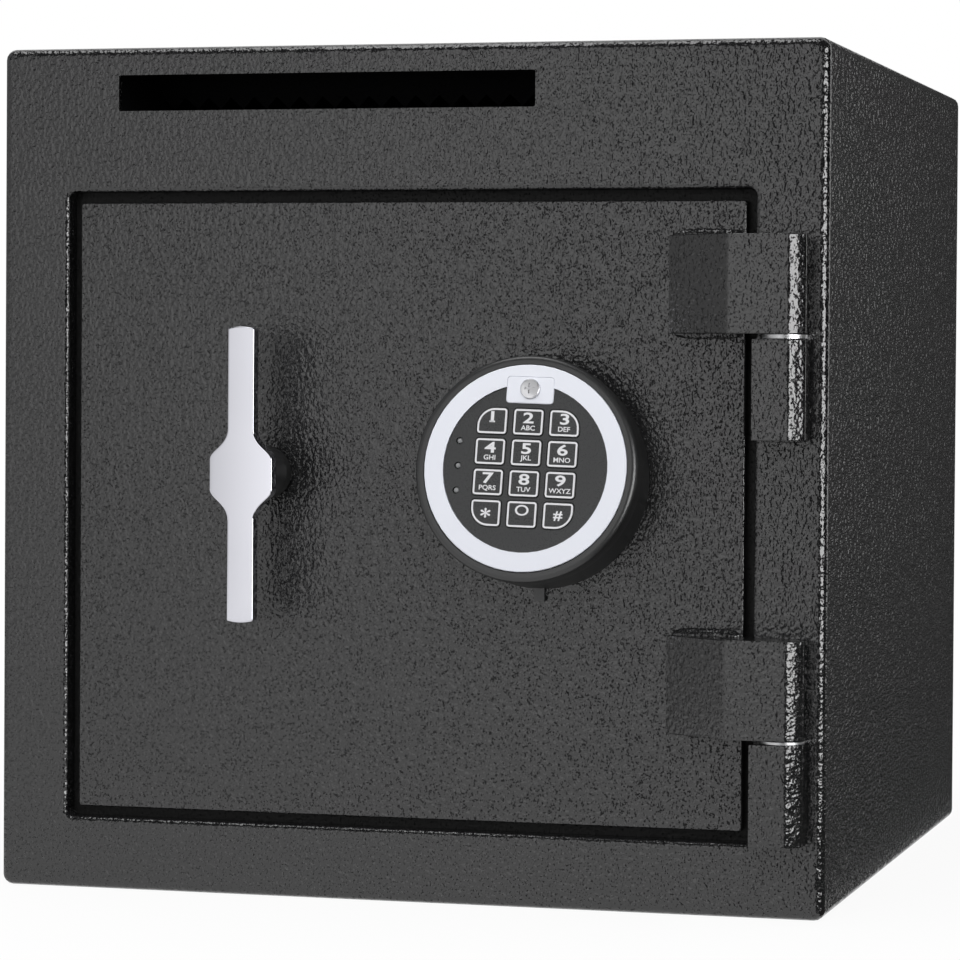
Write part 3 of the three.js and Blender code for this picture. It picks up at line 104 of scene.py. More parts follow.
def add_node(tree, kind, inputs=None, **settings):
    """Adds a shader node, sets its properties, and sets or links its inputs."""
    made = tree.nodes.new(kind)
    for key, value in settings.items():
        setattr(made, key, value)
    for key, value in (inputs or {}).items():
        if isinstance(value, bpy.types.NodeSocket):
            tree.links.new(value, made.inputs[key])
        else:
            made.inputs[key].default_value = value
    return made


def finish(name):
    """A new material with its node tree and its main shader, which remembers its slot's name."""
    material = bpy.data.materials.new(f"{name}_finish")
    material["slot"] = name
    material.use_nodes = True
    tree = material.node_tree
    return material, tree, tree.nodes["Principled BSDF"]


def own_place(tree, scale=(1, 1, 1)):
    """Object coordinates, stretched by a scale."""
    place = add_node(tree, "ShaderNodeTexCoord").outputs["Object"]
    return add_node(tree, "ShaderNodeMapping", {"Vector": place, "Scale": scale}).outputs["Vector"]


print("node helpers ready")

# %% [markdown]
# ## Patterns
#
# Every finish but the circuit board's comes from one kind of smooth noise. It is stretched to the
# range that is wanted, and then steers a colour, a roughness or a relief. Noise lies mostly in the
# middle of its range, so MIDDLE is where a stretch begins and ends when the pattern should use all
# of the new range.

# %% Pattern helpers
MIDDLE = (0.35, 0.65)


def noise(tree, place, per_metre, detail=2.0):
    inputs = {"Vector": place, "Scale": per_metre, "Detail": detail}
    return add_node(tree, "ShaderNodeTexNoise", inputs).outputs["Fac"]


def remapped(tree, value, low, high, new_low=0.0, new_high=1.0):
    """Turns the range low to high into another one with a soft start and end."""
    inputs = {"Value": value, "From Min": low, "From Max": high, "To Min": new_low, "To Max": new_high}
    made = add_node(tree, "ShaderNodeMapRange", inputs, interpolation_type="SMOOTHSTEP")
    return made.outputs["Result"]


def arithmetic(tree, operation, first, second):
    return add_node(tree, "ShaderNodeMath", {0: first, 1: second}, operation=operation).outputs["Value"]


def blended(tree, share, first, second):
    """Mixes two colours."""
    made = tree.nodes.new("ShaderNodeMix")
    made.data_type = "RGBA"
    sockets = (made.inputs["Factor"], made.inputs[6], made.inputs[7])
    for socket, value in zip(sockets, (share, first, second)):
        if isinstance(value, bpy.types.NodeSocket):
            tree.links.new(value, socket)
        else:
            socket.default_value = (*value, 1)
    return made.outputs[2]


def shaded(colour, by):
    """A colour made darker or paler by a factor."""
    return tuple(min(1, v * by) for v in colour)


def raised(tree, shader, height, depth):
    """Bumps the surface by a height pattern, with its full height given in metres."""
    bump = add_node(tree, "ShaderNodeBump", {"Height": height, "Distance": depth, "Strength": 1.0})
    tree.links.new(bump.outputs["Normal"], shader.inputs["Normal"])


print("patterns stretch noise from", MIDDLE)

# %% [markdown]
# ## Textured powder coat
#
# The safe is sprayed with black powder that melts into a glossy skin of flat-topped pebbles about
# 1 mm across. They could be modelled, but a bump is enough at this distance. Smooth noise, pressed
# flat above a level, gives tops that mirror the bright studio evenly, and narrow valleys between
# them, which are the short dark dashes of the real coat. Little light gets out of a valley, so the
# valleys get painted shade: their colour is darker and their mirroring is tinted dark. This painted
# shade is made weaker towards the left. A second, wider noise lets the tops swell and sink a little.

# %% Powder coat
PEBBLES_PER_METRE, SWELLS_PER_METRE, CLOUDS_PER_METRE = 1100, 540, 9.0
# Along X, the painted shade in the valleys grows from weak on the left to full between these places.
VALLEY_SHADE_GROWS_BETWEEN = (-0.15, 0.08)
LEFT_VALLEY_SHADE = 0.75
DULLER_IN_VALLEYS = 0.12


def powder_coat(name, tone, depth, gloss=0.1, mirror=0.95, swelling=1.6, stretch=(1, 0.35, 0.8),
                valleys=(0.29, 0.40), valley_shade=0.25):
    """Paint with painted shade in the valleys between its pebbles, glossiest on their tops."""
    material, tree, shader = finish(name)
    place = own_place(tree, stretch)
    pebbles = noise(tree, place, PEBBLES_PER_METRE, 1.5)
    tops = remapped(tree, pebbles, *valleys)
    swell = noise(tree, place, SWELLS_PER_METRE, 1.0)
    height = arithmetic(tree, "ADD", tops, arithmetic(tree, "MULTIPLY", swell, swelling))
    cloud = noise(tree, place, CLOUDS_PER_METRE)
    pale = blended(tree, cloud, shaded(tone, 0.9), shaded(tone, 1.1))
    # Painted shade: the valleys' colour is half the tone.
    colour = blended(tree, tops, shaded(tone, 0.5), pale)
    tree.links.new(colour, shader.inputs["Base Color"])
    # Painted shade: the valleys' mirroring is tinted dark, less so towards the left.
    across = add_node(tree, "ShaderNodeSeparateXYZ", {"Vector": own_place(tree)}).outputs["X"]
    painted_valley_shade = remapped(tree, across, *VALLEY_SHADE_GROWS_BETWEEN, LEFT_VALLEY_SHADE, valley_shade)
    tree.links.new(blended(tree, tops, painted_valley_shade, (1.0, 1.0, 1.0)), shader.inputs["Specular Tint"])
    dull = remapped(tree, pebbles, *MIDDLE, gloss + DULLER_IN_VALLEYS, gloss)
    tree.links.new(dull, shader.inputs["Roughness"])
    shader.inputs["Specular IOR Level"].default_value = mirror
    raised(tree, shader, height, depth)
    return material


print("powder coat: pebbles about", round(1000 / PEBBLES_PER_METRE, 1), "mm across")

# %% [markdown]
# ## The five paints
#
# All of the safe is black, but the coat doesn't lie alike everywhere. It is a little flatter on the
# hinges. The outer sides are seen at a slant, where fine grain would drown, so their
# pattern is drawn longer from front to back, their relief is deeper and the painted shade in their
# valleys is darker. The stop frame and the pan, seen only through the gap round the door, get a
# thin, matt coat whose darker colour is painted shade. The chute and the shell's inside have a plain
# matt paint.

# %% Paints
BLACK = (0.010, 0.010, 0.0105)
black_paint = powder_coat("black_paint", BLACK, 0.36 * MM)
# On the sides the painted shade in the valleys is darker (valley_shade 0.1).
side_paint = powder_coat("black_paint", BLACK, 0.7 * MM, mirror=0.75, swelling=3.0,
                         stretch=(1, 0.3, 1.0), valleys=(0.36, 0.50), valley_shade=0.1)
hinge_paint = powder_coat("black_paint", BLACK, 0.26 * MM)
# Painted shade: this paint is darker than the black paint, for the stop frame and pan in the gap.
inner_paint = powder_coat("black_paint", (0.006, 0.006, 0.006), 0.2 * MM, gloss=0.4, mirror=0.2)
chute_paint = powder_coat("chute_paint", (0.012, 0.012, 0.0132), 0.04 * MM, gloss=0.6, mirror=0.05)
print("paints mixed: 5")

# %% [markdown]
# ## Metals
#
# The handle is chrome plated, the washers, pins and bolts are turned steel, the keypad's screw is
# bright plated steel, the boltwork is zinc plated and the lock is a rough casting. All are full
# metals that differ in how rough they are and in the marks on them: chrome has faint wipes, turned
# steel fine lines across its axis, and zinc a cloudy spangle. So two functions are enough, one for
# plating with clouds and a grain, and one for the lines of a lathe.

# %% Metals


def plated(name, colour, roughness, cloud_per_metre, cloud_depth, grain_per_metre, grain_depth):
    material, tree, shader = finish(name)
    place = own_place(tree)
    clouds = remapped(tree, noise(tree, place, cloud_per_metre, 3.0), *MIDDLE)
    cloudy = blended(tree, clouds, shaded(colour, 1 - cloud_depth), colour)
    tree.links.new(cloudy, shader.inputs["Base Color"])
    shader.inputs["Metallic"].default_value = 1
    wiped = remapped(tree, clouds, 0.0, 1.0, roughness * 1.25, roughness * 0.8)
    tree.links.new(wiped, shader.inputs["Roughness"])
    raised(tree, shader, noise(tree, place, grain_per_metre), grain_depth)
    return material


def turned_steel(name, colour, roughness, lines_per_metre, depth, along):
    """Fine lines square to one axis of the object, as a lathe leaves them round a pin or bolt."""
    material, tree, shader = finish(name)
    stretch = tuple(1.0 if axis == along else 0.02 for axis in range(3))
    lines = noise(tree, own_place(tree, stretch), lines_per_metre)
    tree.links.new(blended(tree, lines, shaded(colour, 0.85), colour), shader.inputs["Base Color"])
    shader.inputs["Metallic"].default_value = 1
    scored = remapped(tree, lines, 0.2, 0.8, roughness * 0.7, roughness * 1.3)
    tree.links.new(scored, shader.inputs["Roughness"])
    raised(tree, shader, lines, depth)
    return material


chrome = plated("chrome", (0.79, 0.79, 0.85), 0.06, 18.0, 0.03, 300.0, 0.002 * MM)
bright_steel = turned_steel("bright_steel", (0.72, 0.72, 0.73), 0.4, 2500.0, 0.004 * MM, 2)
bolt_steel = turned_steel("bolt_steel", (0.60, 0.60, 0.62), 0.25, 2500.0, 0.008 * MM, 0)
screw_steel = plated("screw_steel", (0.86, 0.86, 0.88), 0.35, 200.0, 0.03, 1500.0, 0.004 * MM)
zinc_plate = plated("zinc_plate", (0.52, 0.52, 0.50), 0.35, 140.0, 0.22, 1500.0, 0.01 * MM)
cast_lock = plated("cast_lock", (0.20, 0.21, 0.22), 0.5, 90.0, 0.2, 900.0, 0.06 * MM)
print("metals made: 6")

# %% [markdown]
# ## Plastics, board and battery
#
# The keypad is moulded in black plastic with a fine even grain, its ring is painted silver white,
# and its face is a smooth glossy film. A grain is a small noise bump; what changes from one plastic
# to the next is its size, how deep it is and how rough the surface is.

# %% Plastics


def moulded(name, colour, roughness, grain_per_metre, grain_depth, spread=0.08, mirror=0.5):
    material, tree, shader = finish(name)
    place = own_place(tree)
    clouds = noise(tree, place, 60.0, 3.0)
    uneven = blended(tree, clouds, shaded(colour, 1 - spread), shaded(colour, 1 + spread))
    tree.links.new(uneven, shader.inputs["Base Color"])
    grain = noise(tree, place, grain_per_metre)
    dull = remapped(tree, grain, 0.3, 0.7, roughness * 0.85, roughness * 1.15)
    tree.links.new(dull, shader.inputs["Roughness"])
    shader.inputs["Specular IOR Level"].default_value = mirror
    raised(tree, shader, grain, grain_depth)
    return material


def circuit_board(name):
    """Green lacquer with a faint grid of copper tracks under it."""
    material, tree, shader = finish(name)
    place = own_place(tree)
    tracks = add_node(
        tree, "ShaderNodeTexBrick",
        {"Vector": place, "Scale": 260.0, "Mortar Size": 0.035, "Brick Width": 0.9, "Row Height": 0.35},
    ).outputs["Fac"]
    colour = blended(tree, tracks, (0.012, 0.075, 0.035), (0.03, 0.15, 0.06))
    tree.links.new(colour, shader.inputs["Base Color"])
    shader.inputs["Roughness"].default_value = 0.3
    raised(tree, shader, tracks, 0.03 * MM)
    return material


black_plastic = moulded("black_plastic", (0.022, 0.0225, 0.023), 0.35, 2600.0, 0.02 * MM, mirror=0.85)
silver_plastic = moulded("silver_plastic", (0.83, 0.85, 0.92), 0.4, 3000.0, 0.004 * MM, 0.01)
glossy_face = moulded("glossy_face", (0.028, 0.029, 0.030), 0.3, 2000.0, 0.003 * MM)
key_ink = moulded("key_ink", (0.78, 0.78, 0.80), 0.45, 3000.0, 0.003 * MM, 0.02)
lamp_plastic = moulded("lamp_plastic", (0.26, 0.265, 0.27), 0.4, 1500.0, 0.01 * MM)
battery_skin = moulded("battery_skin", (0.07, 0.075, 0.085), 0.35, 900.0, 0.02 * MM)
board_green = circuit_board("board_green")
print("plastics made: 6, and the board's lacquer")

# %% [markdown]
# ## Skins over CAD parts
#
# A CAD part comes as loose triangles with flat shading, so a rounded edge shows its facets. A skin
# is a copy of it with its corners merged and flat areas joined, shaded smooth except across real
# corners. A Weighted Normal modifier then keeps the flats flat, and the small rounds between
# them catch the light in one clean line.

# %% Skins
SMOOTH_UP_TO = math.radians(50)
MERGE_WITHIN = 0.002 * MM


def keep_real_corners(bm, smooth_up_to):
    for face in bm.faces:
        face.smooth = True
    for edge in bm.edges:
        edge.smooth = edge.is_manifold and edge.calc_face_angle() < smooth_up_to


def make_piece(name, bm, body, materials, nodes=(), smooth_up_to=SMOOTH_UP_TO):
    """Turns a bmesh into a shown piece that rides on a body and may stand for CAD nodes."""
    keep_real_corners(bm, smooth_up_to)
    mesh = bpy.data.meshes.new(name)
    bm.to_mesh(mesh)
    bm.free()
    made = bpy.data.objects.new(name, mesh)
    bpy.context.scene.collection.objects.link(made)
    for material in materials:
        mesh.materials.append(material)
    flats = made.modifiers.new("flat areas stay flat", "WEIGHTED_NORMAL")
    flats.keep_sharp = True
    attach(made, body)
    if nodes:
        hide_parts(*nodes)


def merged_copy(node):
    bm = bmesh.new()
    bm.from_mesh(frame["nodes"][node].data)
    bmesh.ops.remove_doubles(bm, verts=bm.verts[:], dist=MERGE_WITHIN)
    bmesh.ops.dissolve_limit(bm, angle_limit=math.radians(0.5), verts=bm.verts[:], edges=bm.edges[:])
    return bm


body_of_node = {
    node: body for body, nodes in frame["record"]["behaviour"]["bodies"].items() for node in nodes
}


def skin(node, material):
    make_piece(f"{node}_skin", merged_copy(node), body_of_node[node], [material],
               [node])


print("corners stay real above", round(math.degrees(SMOOTH_UP_TO)), "degrees")

# %% [markdown]
# ## The body shell
#
# The shell is one welded piece with three finishes: the sides wear the deeper grain and the inside
# is matt. Three objects would leave seams, so one mesh gets three materials. Which one a face wears
# can be told from where it looks: inside faces look at the middle of the shell and lie behind the
# opening's rim, and side faces look along X.

# %% Body shell
INSIDE_STARTS = 20 * MM
FACES_SIDEWAYS = 0.999
SIDE, INSIDE = 1, 2
shell = merged_copy("body_shell")
low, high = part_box("body_shell")
for face in shell.faces:
    centre = face.calc_center_median()
    looks_inwards = face.normal.dot((low + high) / 2 - centre) > 0
    if looks_inwards and centre.y > low.y + INSIDE_STARTS:
        face.material_index = INSIDE
    elif abs(face.normal.x) > FACES_SIDEWAYS:
        face.material_index = SIDE
print("shell faces that are matt:", sum(1 for face in shell.faces if face.material_index == INSIDE))
make_piece("body_shell_skin", shell, "body", [black_paint, side_paint, chute_paint],
           ["body_shell"])

# %% [markdown]
# ## Parts that keep the shape of their solid
#
# Most parts are right as they are and only need their finish. One list says which finish goes on
# which parts. Where several finishes share a slot, the slot is named beside them, but the loop below
# doesn't use it.

# %% Plain skins
PLAIN_SKINS = [
    (black_paint, None, ["back_plate", "door_plate"]),
    (hinge_paint, None, ["upper_hinge_leaf", "lower_hinge_leaf"]),
    # The darker inner paint on the stop frame and the pan is painted shade.
    (inner_paint, None, ["door_stop_frame", "door_pan"]),
    (chute_paint, None, ["deposit_chute", "anti_fish_baffle"]),
    (bright_steel, None, ["upper_hinge_pin", "lower_hinge_pin", "lock_latch"]),
    (bolt_steel, "bright_steel", ["live_bolt_1", "live_bolt_2", "live_bolt_3", "handle_spindle"]),
    (zinc_plate, None, ["bolt_carrier", "hinge_dead_bar", "handle_cam", "spindle_bush"]),
    (zinc_plate, None, ["pan_screw_1", "pan_screw_2", "pan_screw_3", "pan_screw_4"]),
    (cast_lock, None, ["lock_case"]),
    (board_green, None, ["keypad_board"]),
    (battery_skin, None, ["keypad_battery"]),
    (black_plastic, None, ["keypad_base"]),
    (glossy_face, None, ["keypad_face"]),
]
for material, slot, nodes in PLAIN_SKINS:
    for node in nodes:
        skin(node, material)
print("plain skins made:", sum(len(nodes) for _, _, nodes in PLAIN_SKINS))

# %% [markdown]
# ## Knuckles and washers
#
# The painted knuckles on the frame are a little narrower and reach a little higher than their
# solids, and the bright washers above them are thinner. Only one end of each has to move, so the
# vertices in a thin band at that end are picked and shifted, which leaves the round edges alone.

# %% Knuckles and washers
END_BAND = 0.5 * MM
KNUCKLE_TRIM = {"upper": (1.9 * MM, 0.6 * MM), "lower": (2.6 * MM, 1.2 * MM)}
for place, (narrower, higher) in KNUCKLE_TRIM.items():
    node = f"{place}_body_knuckle"
    low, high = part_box(node)
    knuckle = merged_copy(node)
    left_side = [vertex for vertex in knuckle.verts if vertex.co.x < low.x + END_BAND]
    bmesh.ops.translate(knuckle, vec=(narrower, 0, 0), verts=left_side)
    top = [vertex for vertex in knuckle.verts if vertex.co.z > high.z - END_BAND]
    bmesh.ops.translate(knuckle, vec=(0, 0, higher), verts=top)
    make_piece(f"{node}_skin", knuckle, "body", [hinge_paint], [node])
    node = f"{place}_thrust_washer"
    low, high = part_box(node)
    washer = merged_copy(node)
    bottom = [vertex for vertex in washer.verts if vertex.co.z < low.z + END_BAND]
    bmesh.ops.translate(washer, vec=(0, 0, higher), verts=bottom)
    make_piece(f"{node}_skin", washer, body_of_node[node], [bright_steel], [node])

# %% [markdown]
# ## Weld beads on the hinges
#
# The hinge leaves are welded to the door along their upper and lower edges, the knuckles to the
# frame along their lower one, and the paint runs over the beads. A bead is a tube whose two ends
# close, thickest in the middle of its run, with ripples where the pool of metal set. A grid is a
# quick way to such a tube: one of its directions goes along the bead and the other round it, and
# merging the doubles closes the seam and the ends.

# %% Weld beads
RIPPLE_LENGTH, RIPPLE_DEPTH = 3.1 * MM, 0.05
LUMPS_PER_METRE, LUMP_DEPTH = 700, 0.1
BEAD_SMOOTH_UP_TO = math.radians(100)
LEAF_BEADS = {"upper": (2.9 * MM, 2.3 * MM), "lower": (3.4 * MM, 1.0 * MM)}
KNUCKLE_BEAD = 1.2 * MM


def weld_bead(name, body, start, end, radius):
    """A bead along X between two points, half sunk in the corner that it fills."""
    bm = bmesh.new()
    bmesh.ops.create_grid(bm, x_segments=96, y_segments=24, size=1)
    start, end = Vector(start), Vector(end)
    length = end.x - start.x
    for vertex in bm.verts:
        along, turn = vertex.co.x, vertex.co.y * math.pi
        here = start.lerp(end, (along + 1) / 2)
        side = Vector((0, math.cos(turn), math.sin(turn)))
        lump = hetero_terrain((here + side * radius) * LUMPS_PER_METRE, 1.0, 2.0, 2, 0.5) - 0.5
        ripple = math.sin(math.tau * along * length / 2 / RIPPLE_LENGTH)
        swell = max(0.0, 1 - abs(along) ** 4) ** 0.5
        reach = radius * swell * (1 + RIPPLE_DEPTH * ripple + LUMP_DEPTH * lump)
        vertex.co = here + side * reach
    bmesh.ops.remove_doubles(bm, verts=bm.verts[:], dist=MERGE_WITHIN)
    bmesh.ops.recalc_face_normals(bm, faces=bm.faces[:])
    make_piece(name, bm, body, [black_paint], smooth_up_to=BEAD_SMOOTH_UP_TO)


door_front_y, door_end_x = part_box("door_plate")[0].y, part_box("door_plate")[1].x
body_front_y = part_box("body_shell")[0].y
for place, radii in LEAF_BEADS.items():
    low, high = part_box(f"{place}_hinge_leaf")
    for edge, height, radius in zip(("top", "bottom"), (high.z, low.z), radii):
        weld_bead(f"{place}_leaf_{edge}_weld", "door", (low.x + 2 * MM, door_front_y, height),
                  (door_end_x - 1 * MM, door_front_y, height), radius)
    low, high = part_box(f"{place}_body_knuckle")
    weld_bead(f"{place}_knuckle_bottom_weld", "body", (low.x + 1 * MM, body_front_y, low.z),
              (high.x - 1 * MM, body_front_y, low.z), KNUCKLE_BEAD)

# %% [markdown]
# ## Where the keypad sits
#
# The keypad leans back from the door and is turned a little on it. Its own frame is read from the
# CAD parts: the direction in which the keys are pressed gives the lean, and the line from key 7 to
# key 9 gives the turn. In that frame Z points out of the face and zero is the front of its rim.

# %% Keypad frame


def middle(node):
    low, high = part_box(node)
    return (low + high) / 2


def span(node, place):
    """Lowest and highest corner of a CAD node in the frame of a placing matrix."""
    inverse = place.inverted()
    points = [inverse @ vertex.co for vertex in frame["nodes"][node].data.vertices]
    low = Vector([min(point[axis] for point in points) for axis in range(3)])
    high = Vector([max(point[axis] for point in points) for axis in range(3)])
    return low, high


press = next(Vector(joint["axis"]) for joint in frame["joints"] if joint["name"] == "key_5_press")
outward = -press.normalized()
across = (middle("key_9") - middle("key_7")).normalized()
upward = outward.cross(across).normalized()
across = upward.cross(outward)
keypad_turn = Matrix((across, upward, outward)).transposed().to_4x4()
low, high = span("keypad_housing", keypad_turn)
rim_middle = Vector(((low.x + high.x) / 2, (low.y + high.y) / 2, high.z))
keypad_place = keypad_turn @ Matrix.Translation(rim_middle)
keypad_radius = (high.x - low.x) / 2
print("keypad radius", round(keypad_radius / MM, 1), "mm, leaning back",
      round(math.degrees(math.asin(outward.z)), 1), "degrees")

# %% [markdown]
# ## Round pieces
#
# The keypad's housing, its lamps and the neck of the handle are round, so each is a profile spun
# about its axis. The profile starts as a few corners. Bevelling its vertices rounds the ones that a
# mould rounds, and the spin closes on itself when use_merge is on.

# %% Spinning
SPIN_STEPS = 128


def spun(corners, steps=SPIN_STEPS):
    """Spins (radius, height, rounding) corners about Z; they close unless they start on the axis."""
    bm = bmesh.new()
    points = [bm.verts.new((radius, 0, height)) for radius, height, _ in corners]
    for first, second in zip(points, points[1:]):
        bm.edges.new((first, second))
    if corners[0][0] > 0:
        bm.edges.new((points[-1], points[0]))
    for point, (_, _, rounding) in zip(points, corners):
        if rounding > 0:
            bmesh.ops.bevel(bm, geom=[point], offset=rounding, offset_type="OFFSET", segments=6,
                            profile=0.5, affect="VERTICES", clamp_overlap=False, material=-1)
    bmesh.ops.spin(bm, geom=bm.verts[:] + bm.edges[:], cent=(0, 0, 0), axis=(0, 0, 1), dvec=(0, 0, 0),
                   angle=math.tau, steps=steps, use_merge=True, use_duplicate=False)
    bmesh.ops.remove_doubles(bm, verts=bm.verts[:], dist=MERGE_WITHIN)
    bmesh.ops.recalc_face_normals(bm, faces=bm.faces[:])
    return bm


def put_on_keypad(bm, x=0, y=0, z=0):
    """Moves a bmesh from the origin to a place in the keypad's frame."""
    bmesh.ops.transform(bm, matrix=keypad_place @ Matrix.Translation((x, y, z)), verts=bm.verts[:])


print("round pieces turn in", SPIN_STEPS, "steps")

# %% [markdown]
# ## The keypad's housing and ring
#
# The housing is a moulding of black plastic with a rounded rim, a seat for the silver ring and a
# well for the circuit board. Its profile runs from the middle of its back round the outside, over
# the rim and down into the well. The ring keeps the shape of its solid.

# %% Housing and ring
FIT = 0.3 * MM
BACK_CHAMFER, RIM_ROUND, LIP_ROUND = 0.7 * MM, 2.5 * MM, 0.15 * MM
FACE_LEDGE = 1.2 * MM
ring_low, ring_high = span("keypad_ring", keypad_place)
ring_radius, seat = ring_high.x, ring_low.z - FIT
face_radius = span("keypad_face", keypad_place)[1].x
well = span("keypad_board", keypad_place)[0].z - FIT
housing_back = span("keypad_housing", keypad_place)[0].z
housing = spun([
    (0, housing_back, 0),
    (keypad_radius - BACK_CHAMFER, housing_back, 0),
    (keypad_radius, housing_back + BACK_CHAMFER, 0),
    (keypad_radius, 0, RIM_ROUND),
    (ring_radius + FIT, 0, LIP_ROUND),
    (ring_radius + FIT, seat, 0),
    (face_radius - FACE_LEDGE, seat, 0),
    (face_radius - FACE_LEDGE, well, 0),
    (0, well, 0),
])
put_on_keypad(housing)
make_piece("keypad_housing_moulding", housing, "door", [black_plastic],
           ["keypad_housing"])
skin("keypad_ring", silver_plastic)
print("ring", round(ring_radius / MM, 1), "mm, face", round(face_radius / MM, 1), "mm in radius")

# %% [markdown]
# ## The screw and its tab
#
# One cross-head screw holds the keypad, in a silver tab that is let into the housing. The tab's
# solid leaves its fit free all round, and on the real keypad no gap shows. Growing the tab by the
# fit on each side, about its own middle and in the keypad's frame, closes the gap.

# %% Screw and tab
tab_low, tab_high = span("keypad_screw_tab", keypad_place)
tab_place = Matrix.Translation(keypad_place @ ((tab_low + tab_high) / 2)) @ keypad_turn
tab_size = tab_high - tab_low
grown = Matrix.Diagonal((1 + 2 * FIT / tab_size.x, 1 + 2 * FIT / tab_size.y, 1, 1))
tab = merged_copy("keypad_screw_tab")
bmesh.ops.transform(tab, matrix=tab_place @ grown @ tab_place.inverted(), verts=tab.verts[:])
make_piece("keypad_screw_tab_skin", tab, "door", [silver_plastic],
           ["keypad_screw_tab"])
skin("keypad_screw", screw_steel)
print("tab", round(tab_size.x / MM, 1), "by", round(tab_size.y / MM, 1), "mm before it grows")

# %% [markdown]
# ## Status lamps
#
# Three small lamps of grey plastic sit in the keypad's face, unlit. The solids are plain pegs, but
# a real lens is domed and catches one soft spot of light. A peg is spun with its upper corner
# rounded off almost to the middle, which gives a dome from four corners.

# %% Status lamps
DOMED_SHARE = 0.8
for number in (1, 2, 3):
    node = f"status_lamp_{number}"
    low, high = span(node, keypad_place)
    centre, radius = (low + high) / 2, (high.x - low.x) / 2
    lens = spun([
        (0, low.z, 0), (radius, low.z, 0), (radius, high.z, radius * DOMED_SHARE), (0, high.z, 0),
    ], steps=24)
    put_on_keypad(lens, centre.x, centre.y)
    make_piece(f"{node}_lens", lens, "door", [lamp_plastic], [node])
print("lamps", round(2 * radius / MM, 1), "mm across")

# %% [markdown]
# ## Characters
#
# The keys bear bold characters in white print. A picture of them could be laid on the caps, but
# characters made as text stay sharp from near by. Text is turned into a mesh a hair thick, then
# centred on its own outline and joined to its cap, so that cap and print move as one piece with
# two materials.

# %% Characters
PRINT_HEIGHT = 0.03 * MM
SECOND_MATERIAL = 1


def printed(words, size, y, z, widen, bolder):
    """A bmesh of flat characters, centred at a height y on a key whose top is z."""
    text = bpy.data.curves.new("print", "FONT")
    text.body = words
    text.size = size
    text.align_x = "CENTER"
    text.align_y = "CENTER"
    text.offset = bolder
    text.extrude = PRINT_HEIGHT / 2
    text.resolution_u = 4
    holder = bpy.data.objects.new("print", text)
    mesh = bpy.data.meshes.new_from_object(holder)
    bm = bmesh.new()
    bm.from_mesh(mesh)
    bmesh.ops.remove_doubles(bm, verts=bm.verts[:], dist=MERGE_WITHIN / 10)
    low = Vector([min(v.co[axis] for v in bm.verts) for axis in range(2)])
    high = Vector([max(v.co[axis] for v in bm.verts) for axis in range(2)])
    centring = Matrix.Translation((-(low.x + high.x) / 2, -(low.y + high.y) / 2, 0))
    shaping = Matrix.Translation((0, y, z)) @ Matrix.Diagonal((widen, 1, 1, 1))
    bmesh.ops.transform(bm, matrix=shaping @ centring, verts=bm.verts[:])
    bpy.data.objects.remove(holder)
    bpy.data.curves.remove(text)
    bpy.data.meshes.remove(mesh)
    return bm


def joined(target, addition):
    """Adds one bmesh to another, in the second material."""
    for face in addition.faces:
        face.material_index = SECOND_MATERIAL
    mesh = bpy.data.meshes.new("joining")
    addition.to_mesh(mesh)
    addition.free()
    target.from_mesh(mesh)
    bpy.data.meshes.remove(mesh)


print("print is", round(PRINT_HEIGHT / MM, 2), "mm thick")

# %% [markdown]
# ## Key caps
#
# A key is a low cap with rounded corners and a white line printed inside its edge. The four corner
# keys follow the round face with one wide corner each. A cap is one flat face: its corners are
# bevelled, it is extruded to its thickness, its upper edge is rounded, and two insets part off the
# line.

# %% Key caps
KEY_CORNER, KEY_OUTER_CORNER, KEY_EDGE = 1.7 * MM, 8.5 * MM, 0.25 * MM
LINE_MARGIN, LINE_WIDTH = 0.12 * MM, 0.85 * MM
LOOKS_UP = 0.9


def key_cap(size, row, column):
    """A cap that stands on zero, for a place in the grid of keys."""
    bm = bmesh.new()
    bmesh.ops.create_grid(bm, x_segments=1, y_segments=1, size=0.5)
    bmesh.ops.scale(bm, vec=(size.x, size.y, 1), verts=bm.verts[:])
    outer_x = {0: -1, 2: 1}.get(column, 0)
    outer_y = {0: 1, 3: -1}.get(row, 0)
    for vertex in bm.verts[:]:
        is_outer = vertex.co.x * outer_x > 0 and vertex.co.y * outer_y > 0
        corner, steps = (KEY_OUTER_CORNER, 10) if is_outer else (KEY_CORNER, 5)
        bmesh.ops.bevel(bm, geom=[vertex], offset=corner, offset_type="OFFSET", segments=steps,
                        profile=0.5, affect="VERTICES", clamp_overlap=False, material=-1)
    outline = bm.faces[:][0]
    if outline.normal.z < 0:
        bmesh.ops.reverse_faces(bm, faces=[outline])
    extruded = bmesh.ops.extrude_face_region(bm, geom=[outline])
    lifted = [item for item in extruded["geom"] if isinstance(item, bmesh.types.BMVert)]
    bmesh.ops.translate(bm, vec=(0, 0, size.z), verts=lifted)
    bmesh.ops.recalc_face_normals(bm, faces=bm.faces[:])
    top = max(bm.faces, key=lambda face: face.calc_center_median().z)
    bmesh.ops.bevel(bm, geom=top.edges[:], offset=KEY_EDGE, offset_type="OFFSET", segments=3,
                    profile=0.5, affect="EDGES", clamp_overlap=True, material=-1)
    top = max(bm.faces, key=lambda face: face.calc_area() * (face.normal.z > LOOKS_UP))
    bmesh.ops.inset_region(bm, faces=[top], thickness=LINE_MARGIN, depth=0, use_even_offset=True)
    line = bmesh.ops.inset_region(bm, faces=[top], thickness=LINE_WIDTH, depth=0, use_even_offset=True)
    for face in line["faces"]:
        face.material_index = SECOND_MATERIAL
    return bm


print("line on the caps", round(LINE_WIDTH / MM, 2), "mm wide")

# %% [markdown]
# ## Twelve keys
#
# Each key bears a wide number and, from 2 to 9, the small letters of a telephone keypad. The font
# at hand is narrower, so its characters are widened and drawn bolder. Its zero is too narrow and
# its one has no foot: a letter O and a dash make them up.

